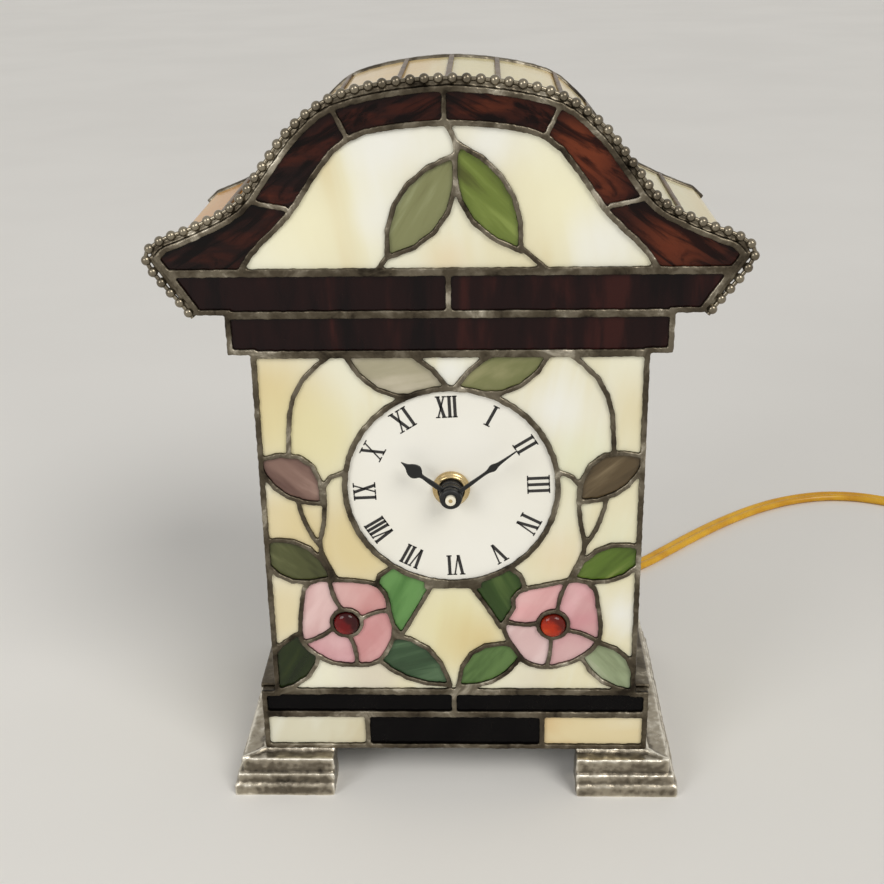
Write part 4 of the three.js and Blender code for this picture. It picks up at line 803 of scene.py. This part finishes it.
arch_side = [Vector((x * TIP[0], TIP[1] + z * (ARCH_TOP - TIP[1]))) for x, z in ARCH_SHARES]
arch_points = [*arch_side, Vector((0, ARCH_TOP)), *mirrored(arch_side)]
side_line = [Vector(p) for p in SIDE]
panel = [*side_line, *spline(arch_points, PANEL_STEPS, EVEN), *mirrored(side_line)]
corner = Vector((BAND_HALF, FRIEZE_TOP))
far_corner = Vector((-BAND_HALF, FRIEZE_TOP))


def edge_band(outline):
    """A band that wraps the panel's edge, from front to back."""
    inner = offset(outline, EDGE_WIDTH, True)
    rings = []
    for p, q in zip(outline, inner):
        outside = [at(p.x, EDGE_FRONT, p.y), at(p.x, EDGE_BACK, p.y)]
        inside = [at(q.x, EDGE_BACK, q.y), at(q.x, EDGE_FRONT, q.y)]
        rings.append(outside + inside)
    return rings_mesh("edge_band", rings, closed=True)


def flange():
    """A round lip along the eaves, on which the beads lie."""
    eaves = [corner, *spline(arch_points, EAVES_STEPS, EVEN), far_corner]
    route = [at(p.x, FLANGE_Y, p.y) for p in offset(eaves, -FLANGE_OUT)]
    return tube("flange", route, round_section(FLANGE_RADIUS, sides=8))


def rounded(name, meshes, voxel, passes, swell, lump, lump_size):
    """Closed meshes fused, rounded and roughened into one skin."""
    work = bmesh.new()
    for mesh in meshes:
        work.from_mesh(mesh)
    fused = bpy.data.meshes.new(name)
    work.to_mesh(fused)
    work.free()
    holder = bpy.data.objects.new(name, fused)
    SCENE.collection.objects.link(holder)
    remesh = holder.modifiers.new("remesh", "REMESH")
    remesh.mode = "VOXEL"
    remesh.voxel_size = voxel * MM
    soften = holder.modifiers.new("soften", "SMOOTH")
    soften.factor = 0.5
    soften.iterations = passes
    graph = bpy.context.evaluated_depsgraph_get()
    made = bpy.data.meshes.new_from_object(holder.evaluated_get(graph))
    made.name = name
    bpy.data.objects.remove(holder)
    bpy.data.meshes.remove(fused)
    normals = [v.normal.copy() for v in made.vertices]
    for vertex, normal in zip(made.vertices, normals):
        broad = noise.noise(vertex.co / (lump_size * MM))
        fine = noise.noise(vertex.co / (FINE_LUMP_SIZE * lump_size * MM))
        vertex.co += normal * ((swell + lump * (broad + FINE_LUMP_SHARE * fine)) * MM)
    return smooth(made)


def sunk(node):
    """A copy of a front solder mesh whose back is let into the glass."""
    mesh = NODES[node].data.copy()
    face = at(0, 0, 0).y
    for vertex in mesh.vertices:
        if vertex.co.y > face - NODE_WELD_M:
            vertex.co.y += SUNK * MM
    return mesh


def seen_from_inside(mesh, name):
    """A copy mirrored through the middle of the glass."""
    copy = mesh.copy()
    copy.name = name
    middle = at(0, GLASS / 2, 0).y
    for vertex in copy.vertices:
        vertex.co.y = 2 * middle - vertex.co.y
    copy.flip_normals()
    return copy


front = rounded("front_solder", [sunk("front_leading"), edge_band(panel), flange()],
                voxel=0.42, passes=3, swell=0.0, lump=0.24, lump_size=2.6)
back = seen_from_inside(front, "inside_solder")
add("front_solder", front, solder, ("front_leading",))
add("inside_solder", back, solder)
roof = rounded("roof_solder", [NODES["roof_leading"].data],
               voxel=0.4, passes=3, swell=0.12, lump=0.08, lump_size=3.0)
add("roof_solder", roof, roof_solder, ("roof_leading",))
rim = rounded("back_solder", [NODES["back_rim"].data],
              voxel=0.6, passes=4, swell=0.15, lump=0.1, lump_size=3.2)
add("back_solder", rim, rim_solder, ("back_rim",))


# Beads along the front edge of the roof

BEAD_RADIUS, BEAD_PITCH, BEAD_SETBACK, WIRE_RADIUS = 1.8, 4.6, 0.8, 0.75
BEAD_ROUTE_STEPS, WIRE_STEPS = 16, 160


def bead_trim():
    route = offset([corner, *arch_points, far_corner], -(BEAD_RADIUS + GAP))
    line = spline([(p.x, BEAD_SETBACK, p.y) for p in route], BEAD_ROUTE_STEPS, ROOTED)
    steps = 2 * round(length_of(line) / BEAD_PITCH)
    stations = spaced(line, steps)
    work = bmesh.new()
    for i in range(1, steps, 2):
        bead = bmesh.ops.create_uvsphere(work, u_segments=18, v_segments=12, radius=BEAD_RADIUS * MM)
        bmesh.ops.translate(work, verts=bead["verts"], vec=at(*stations[i]))
    wire_line = [at(*p) for p in spaced(line, WIRE_STEPS)]
    work.from_mesh(tube("wire", wire_line, round_section(WIRE_RADIUS, sides=10)))
    mesh = bpy.data.meshes.new("bead_row")
    work.to_mesh(mesh)
    work.free()
    return smooth(mesh, crisp=60)


add("bead_row", bead_trim(), bead_metal, ("bead_trim",))


# Feet: cast mouldings with soft edges, and a ridge down the mitre at each corner

MITRE_TOP, MITRE_FOOT = (76.6, 0.6, 16.2), (84.3, 6.2, 15.3)
MITRE_RADIUS = 0.9


def foot_mitre(sign, face, reach):
    ends = [at(sign * x, face + out * reach, z) for x, out, z in (MITRE_TOP, MITRE_FOOT)]
    return tube("mitre", ends, round_section(MITRE_RADIUS, sides=8))


for side, sign in (("left", -1), ("right", 1)):
    mitres = [foot_mitre(sign, 0.0, -1), foot_mitre(sign, CASE_DEPTH, 1)]
    foot = rounded(f"cast_foot_{side}", [NODES[f"foot_{side}"].data, *mitres],
                   voxel=0.7, passes=3, swell=0.1, lump=0.3, lump_size=3.6)
    for vertex in foot.vertices:
        vertex.co.z = max(vertex.co.z, 0.0)
    add(f"cast_foot_{side}", foot, pewter, (f"foot_{side}",))


# Jewels

JEWEL_RADIUS, JEWEL_RIM, JEWEL_DOME = 4.7, -1.3, 2.2
DOME_ANGLES = [math.radians(9 * k) for k in range(1, 10)]
JEWEL = [(0, GLASS), (JEWEL_RADIUS, GLASS), (JEWEL_RADIUS, JEWEL_RIM)]
JEWEL += [(JEWEL_RADIUS * math.cos(a), JEWEL_RIM - JEWEL_DOME * math.sin(a)) for a in DOME_ANGLES]
JEWEL += [(0, JEWEL_RIM - JEWEL_DOME)]
JEWELS = (("left", LEFT_JEWEL, ruby, "ruby"), ("right", RIGHT_JEWEL, orange, "orange"))
for side, centre, look, slot in JEWELS:
    mesh = smooth(lathe(f"cut_jewel_{side}", JEWEL, (centre[0], 0, centre[1]), "Y"), crisp=50)
    add(f"cut_jewel_{side}", mesh, look, (f"jewel_{side}",))


# Dial numerals: a glyph is its advance, its stems (foot, head, thickness) and its serifs (start, end, top)

NUMERAL_HEIGHT = 8.3
NUMERAL_OUTSIDE = 36.0
PRINT_TURN = 2.4
PRINT_FRONT, PRINT_BACK = -0.1, 0.02
STEM, HAIR, SERIF = 1.15, 0.55, 0.45
GLYPHS = {
    "I": (2.0, [(1.0, 1.0, STEM)], [(0.1, 1.9, 0), (0.1, 1.9, 1)]),
    "V": (4.4, [(2.3, 1.0, STEM), (2.35, 3.7, HAIR)], [(0.1, 2.0, 1), (3.0, 4.35, 1)]),
    "X": (4.3, [(3.25, 0.95, STEM), (0.85, 3.35, HAIR)],
          [(0.05, 1.85, 1), (2.6, 4.2, 1), (0.05, 1.7, 0), (2.3, 4.2, 0)]),
}
HOURS = [
    ("XII", 7.9), ("I", 2.7), ("II", 5.0), ("III", 7.5), ("IV", 7.0), ("V", 5.2), ("VI", 7.0), ("VII", 7.9),
    ("VIII", 8.9), ("IX", 7.3), ("X", 5.9), ("XI", 7.4),
]


def numeral_boxes(text, width):
    """Four-cornered strokes of a numeral of that width, standing on y = 0 about x = 0."""
    stretch = width / sum(GLYPHS[letter][0] for letter in text)
    strokes = []
    pen = -width / 2
    for letter in text:
        advance, stems, serifs = GLYPHS[letter]
        for foot, head, thick in stems:
            low, high, half = pen + foot * stretch, pen + head * stretch, thick / 2
            top = [(high + half, NUMERAL_HEIGHT), (high - half, NUMERAL_HEIGHT)]
            strokes.append([(low - half, 0), (low + half, 0), *top])
        for start, end, top in serifs:
            left, right = pen + start * stretch, pen + end * stretch
            base = top * (NUMERAL_HEIGHT - SERIF)
            strokes.append([(left, base), (right, base), (right, base + SERIF), (left, base + SERIF)])
        pen += advance * stretch
    return strokes


def numerals():
    points = []
    faces = []
    for hour, (text, width) in enumerate(HOURS):
        angle = math.radians(30 * hour - PRINT_TURN)
        out = Vector((math.sin(angle), math.cos(angle)))
        along = Vector((math.cos(angle), -math.sin(angle)))
        for stroke in numeral_boxes(text, width):
            flat = [along * x + out * (NUMERAL_OUTSIDE - NUMERAL_HEIGHT + y) for x, y in stroke]
            first = len(points)
            for depth in (PRINT_FRONT, PRINT_BACK):
                points += [at(p.x, depth, DIAL_Z + p.y) for p in flat]
            a = [first + k for k in range(4)]
            b = [first + 4 + k for k in range(4)]
            faces.append(tuple(a))
            faces.append(tuple(reversed(b)))
            faces += [(a[(k + 1) % 4], a[k], b[k], b[(k + 1) % 4]) for k in range(4)]
    return mesh_of("dial_numerals", points, faces)


add("dial_numerals", numerals(), print_ink)


# Nut, hands and movement

HUB = (0, 0, DIAL_Z)
NUT = [
    (4.7, 0), (6.4, 0), (6.8, -0.3), (6.9, -0.8), (6.8, -1.3), (6.3, -1.8), (6.0, -2.0), (5.85, -2.5),
    (5.5, -2.75), (4.9, -2.8), (4.7, -2.6), (4.7, 0),
]
nut = smooth(lathe("brass_nut", NUT, HUB, "Y", segments=64), crisp=50)
add("brass_nut", nut, brass, ("fixing_nut",))

HAND_THICK, HAND_EDGE, HAND_STEPS = 0.8, 0.16, 6
HOUR_LENGTH, MINUTE_LENGTH = 22.1, 29.7
HOUR_SIDE = [
    (0.95, 4.0 / HOUR_LENGTH), (0.9, 0.4), (0.85, 0.6), (1.9, 0.645), (2.65, 0.7), (2.6, 0.765), (1.9, 0.83),
    (0.95, 0.885), (0.45, 0.94), (0.12, 1.0),
]
MINUTE_SIDE = [
    (0.8, 2.9 / MINUTE_LENGTH), (0.7, 0.3), (0.64, 0.56), (1.35, 0.645), (0.75, 0.72), (0.45, 0.82),
    (0.2, 1.0),
]
HOUR_BOSS = [(3.3, -7.4), (4.05, -7.4), (4.3, -7.15), (4.3, -5.5), (4.1, -5.3), (3.3, -5.3), (3.3, -7.4)]
MINUTE_BOSS = [
    (2.2, -10.4), (3.1, -10.4), (3.7, -10.15), (4, -9.6), (4, -8.1), (3.8, -7.9), (2.2, -7.9), (2.2, -10.4),
]


def hand_mesh(name, side, length, boss, front, angle):
    """A flat hand from half widths at shares of its length, turned to its angle, with its round boss."""
    right = spline([(half, share * length) for half, share in side], HAND_STEPS, ROOTED)
    outline = [*right, *mirrored(right)]
    turn = math.radians(angle)
    c, s = math.cos(turn), math.sin(turn)
    rear = front + HAND_THICK
    edges = [(HAND_EDGE, front), (0.0, front + HAND_EDGE), (0.0, rear - HAND_EDGE), (HAND_EDGE, rear)]
    rings = []
    for inset, depth in edges:
        ring = offset(outline, inset, True)
        rings.append([at(p.x * c + p.y * s, depth, DIAL_Z + p.y * c - p.x * s) for p in ring])
    blade = rings_mesh(name, rings)
    return smooth(joined([blade, lathe(name, boss, HUB, "Y", segments=64)]), crisp=40)


hand = hand_mesh("spade_hour_hand", HOUR_SIDE, HOUR_LENGTH, HOUR_BOSS, front=-7.4, angle=307.3)
add("spade_hour_hand", hand, black_paint, ("hour_hand",), "hour")
hand = hand_mesh("lozenge_minute_hand", MINUTE_SIDE, MINUTE_LENGTH, MINUTE_BOSS, front=-8.9, angle=52.3)
add("lozenge_minute_hand", hand, black_paint, ("minute_hand",), "minute")

TIP_DIMPLE = [(0, -11.33), (0.7, -11.33), (0.85, -11.25), (0, -11.2)]
dimple = smooth(lathe("arbor_dimple", TIP_DIMPLE, HUB, "Y", segments=24), crisp=40)
add("arbor_dimple", dimple, brass, (), "minute")

eased("movement_case", "clock_case", black_plastic, width=0.5)
eased("movement_cover", "clock_cover", black_plastic, width=0.25)
eased("setting_wheel", "setting_knob", black_plastic, width=0.12, body="setting")
eased("battery", "clock_cell", cell, width=0.4)
eased("base_plate", "floor_plate", steel, width=0.25)


# Lamp

LAMP_Y = 58.0
BRACKET = [
    (0, 18.2), (13.6, 18.2), (14, 18.6), (14, 19.4), (13.2, 20.2), (7.4, 20.6), (6.2, 21.4), (5.4, 23),
    (5, 25), (5, 44), (5.6, 45), (7.4, 45.4), (7.4, 47.6), (6.9, 48), (0, 48),
]
SOCKET = [
    (0, 48), (12, 48), (12.8, 48.4), (13, 49.2), (13, 62), (12.4, 62.6), (12.4, 64), (13, 64.6), (13, 82.6),
    (12.6, 83.6), (11.8, 84), (6.3, 84), (6.3, 52), (0, 52),
]
THREADS, THREAD_START, THREAD_PITCH, THREAD_ROOT, THREAD_CREST = 9, 55, 3, 5.5, 6
THREAD = [(0, 52), (3, 52), (4.6, 54)]
for turn in range(THREADS):
    start = THREAD_START + THREAD_PITCH * turn
    rise, fall, end = (start + THREAD_PITCH * quarter / 4 for quarter in (1, 2, 3))
    THREAD += [(THREAD_ROOT, start), (THREAD_CREST, rise), (THREAD_CREST, fall), (THREAD_ROOT, end)]
THREAD += [(THREAD_CREST, 83), (THREAD_CREST, 84), (0, 84)]
BULB_POINTS = [(6, 84), (13.125, 97.12), (17.5, 116.8), (12.25, 141.4), (3.5, 160.26), (0, 166)]
BULB_STEPS = 8
BULB = [(0, 84), *((max(p.x, 0), p.y) for p in spline(BULB_POINTS, BULB_STEPS, EVEN))]
for name, profile, look, slot, node in (
    ("lamp_stem", BRACKET, brass, "brass", "lamp_bracket"),
    ("lamp_holder", SOCKET, cream_plastic, "cream_plastic", "socket_body"),
    ("bulb_cap", THREAD, steel, "steel", "bulb_base"),
    ("bulb_envelope", BULB, bulb_look, "bulb_glass", "bulb_glass"),
):
    add(name, smooth(lathe(name, profile, (0, LAMP_Y, 0), "Z"), crisp=40), look, (node,))


# Tie round the coil

TIE_INNER, TIE_OUTER, TIE_LOW, TIE_HIGH = 25.0, 59.2, 0.02, 9.2
TIE_ROUND, TIE_HALF_WIDTH = 2.2, 2.6
TIE_SLOPE, TIE_SLOPE_DROP, TIE_EASE = 6.0, 3.2, 3.0
TIE_WALL, TIE_WALL_UNDER = 0.7, 0.06
TIE_TURN = math.radians(115)


def coil_tie():
    """A flat band round the bundle of turns, thin where the cord lies on it."""
    middle = SWITCH_LENGTH + GAP + COIL_LEAD
    under_out, under_in = (TIE_OUTER - TIE_ROUND, TIE_LOW), (TIE_INNER + TIE_ROUND, TIE_LOW)
    over = [
        (TIE_OUTER, TIE_LOW + TIE_ROUND), (TIE_OUTER, TIE_HIGH - TIE_SLOPE_DROP),
        (TIE_OUTER - TIE_SLOPE, TIE_HIGH), (TIE_INNER + TIE_EASE, TIE_HIGH),
        (TIE_INNER, TIE_HIGH - TIE_ROUND), (TIE_INNER, TIE_LOW + TIE_ROUND),
    ]
    walls = [TIE_WALL_UNDER, *[TIE_WALL] * len(over), TIE_WALL_UNDER]
    out = Vector((math.sin(TIE_TURN), math.cos(TIE_TURN)))
    along = Vector((out.y, -out.x))
    centre = Vector(((TIE_INNER + TIE_OUTER) / 2, (TIE_LOW + TIE_HIGH) / 2))
    rings = []
    for (radius, z), wall in zip([under_out, *over, under_in], walls):
        towards = (centre - Vector((radius, z))).normalized() * wall
        ring = []
        for side, inside in ((-1, 0), (1, 0), (1, 1), (-1, 1)):
            p = out * (radius + towards.x * inside) + along * (TIE_HALF_WIDTH * side)
            ring.append(at(*from_switch(middle + p.x, -COIL_RADIUS + p.y, z + towards.y * inside)))
        rings.append(ring)
    return smooth(joined([rings_mesh("coil_tie", rings, closed=True)]), crisp=35)


add("coil_tie", coil_tie(), black_plastic)


# Floor, light and background

FLOOR_REACH_M = 12.0
LIGHT_COLOUR, LIGHT_STRENGTH = (1.0, 0.99, 0.97, 1), 0.4
SEEN_COLOUR, SEEN_STRENGTH = (0.92, 0.91, 0.89, 1), 0.8


def make_floor():
    look = Look("floor", Roughness=0.75, Specular_IOR_Level=0.2)
    stops = [(0.3, (234, 232, 228)), (0.7, (238, 236, 232))]
    look.feed("Base Color", look.ramp(look.cloud(3.0, detail=3.0), stops))
    corners = [(x * FLOOR_REACH_M, y * FLOOR_REACH_M, 0) for x, y in ((-1, -1), (1, -1), (1, 1), (-1, 1))]
    floor = bpy.data.objects.new("floor", mesh_of("floor", corners, [(0, 1, 2, 3)]))
    floor.data.materials.append(look.material)
    SCENE.collection.objects.link(floor)


def make_light(name, kind, place, aim, energy, **settings):
    """A lamp at a place, aimed at a point, both in metres."""
    data = bpy.data.lights.new(name, kind)
    data.energy = energy
    for key, value in settings.items():
        setattr(data, key, value)
    lamp = bpy.data.objects.new(name, data)
    lamp.location = place
    lamp.rotation_euler = (Vector(aim) - Vector(place)).to_track_quat("-Z", "Y").to_euler()
    SCENE.collection.objects.link(lamp)


def make_world():
    """Soft light from all round, behind a pale backdrop that cameras, gloss and glass see."""
    world = bpy.data.worlds.new("studio")
    SCENE.world = world
    world.use_nodes = True
    tree = world.node_tree
    tree.nodes.clear()

    def background(tint, strength):
        made = tree.nodes.new("ShaderNodeBackground")
        made.inputs["Color"].default_value = tint
        made.inputs["Strength"].default_value = strength
        return made.outputs[0]

    path = tree.nodes.new("ShaderNodeLightPath").outputs
    seen = path["Is Camera Ray"]
    for ray in ("Is Glossy Ray", "Is Transmission Ray"):
        either = tree.nodes.new("ShaderNodeMath")
        either.operation = "MAXIMUM"
        tree.links.new(seen, either.inputs[0])
        tree.links.new(path[ray], either.inputs[1])
        seen = either.outputs[0]
    choose = tree.nodes.new("ShaderNodeMixShader")
    tree.links.new(seen, choose.inputs[0])
    tree.links.new(background(LIGHT_COLOUR, LIGHT_STRENGTH), choose.inputs[1])
    tree.links.new(background(SEEN_COLOUR, SEEN_STRENGTH), choose.inputs[2])
    output = tree.nodes.new("ShaderNodeOutputWorld")
    tree.links.new(choose.outputs[0], output.inputs["Surface"])


make_floor()
make_light("key", "SUN", place=(0.9, -1.2, 1.5), aim=(0, 0, 0.1), energy=1.32,
           angle=math.radians(30), color=(1.0, 0.98, 0.94))
make_light("fill", "AREA", place=(-0.9, -1.1, 0.8), aim=(0, 0, 0.12), energy=6.0, shape="DISK", size=0.7)
make_world()
SCENE.view_settings.view_transform = "Standard"
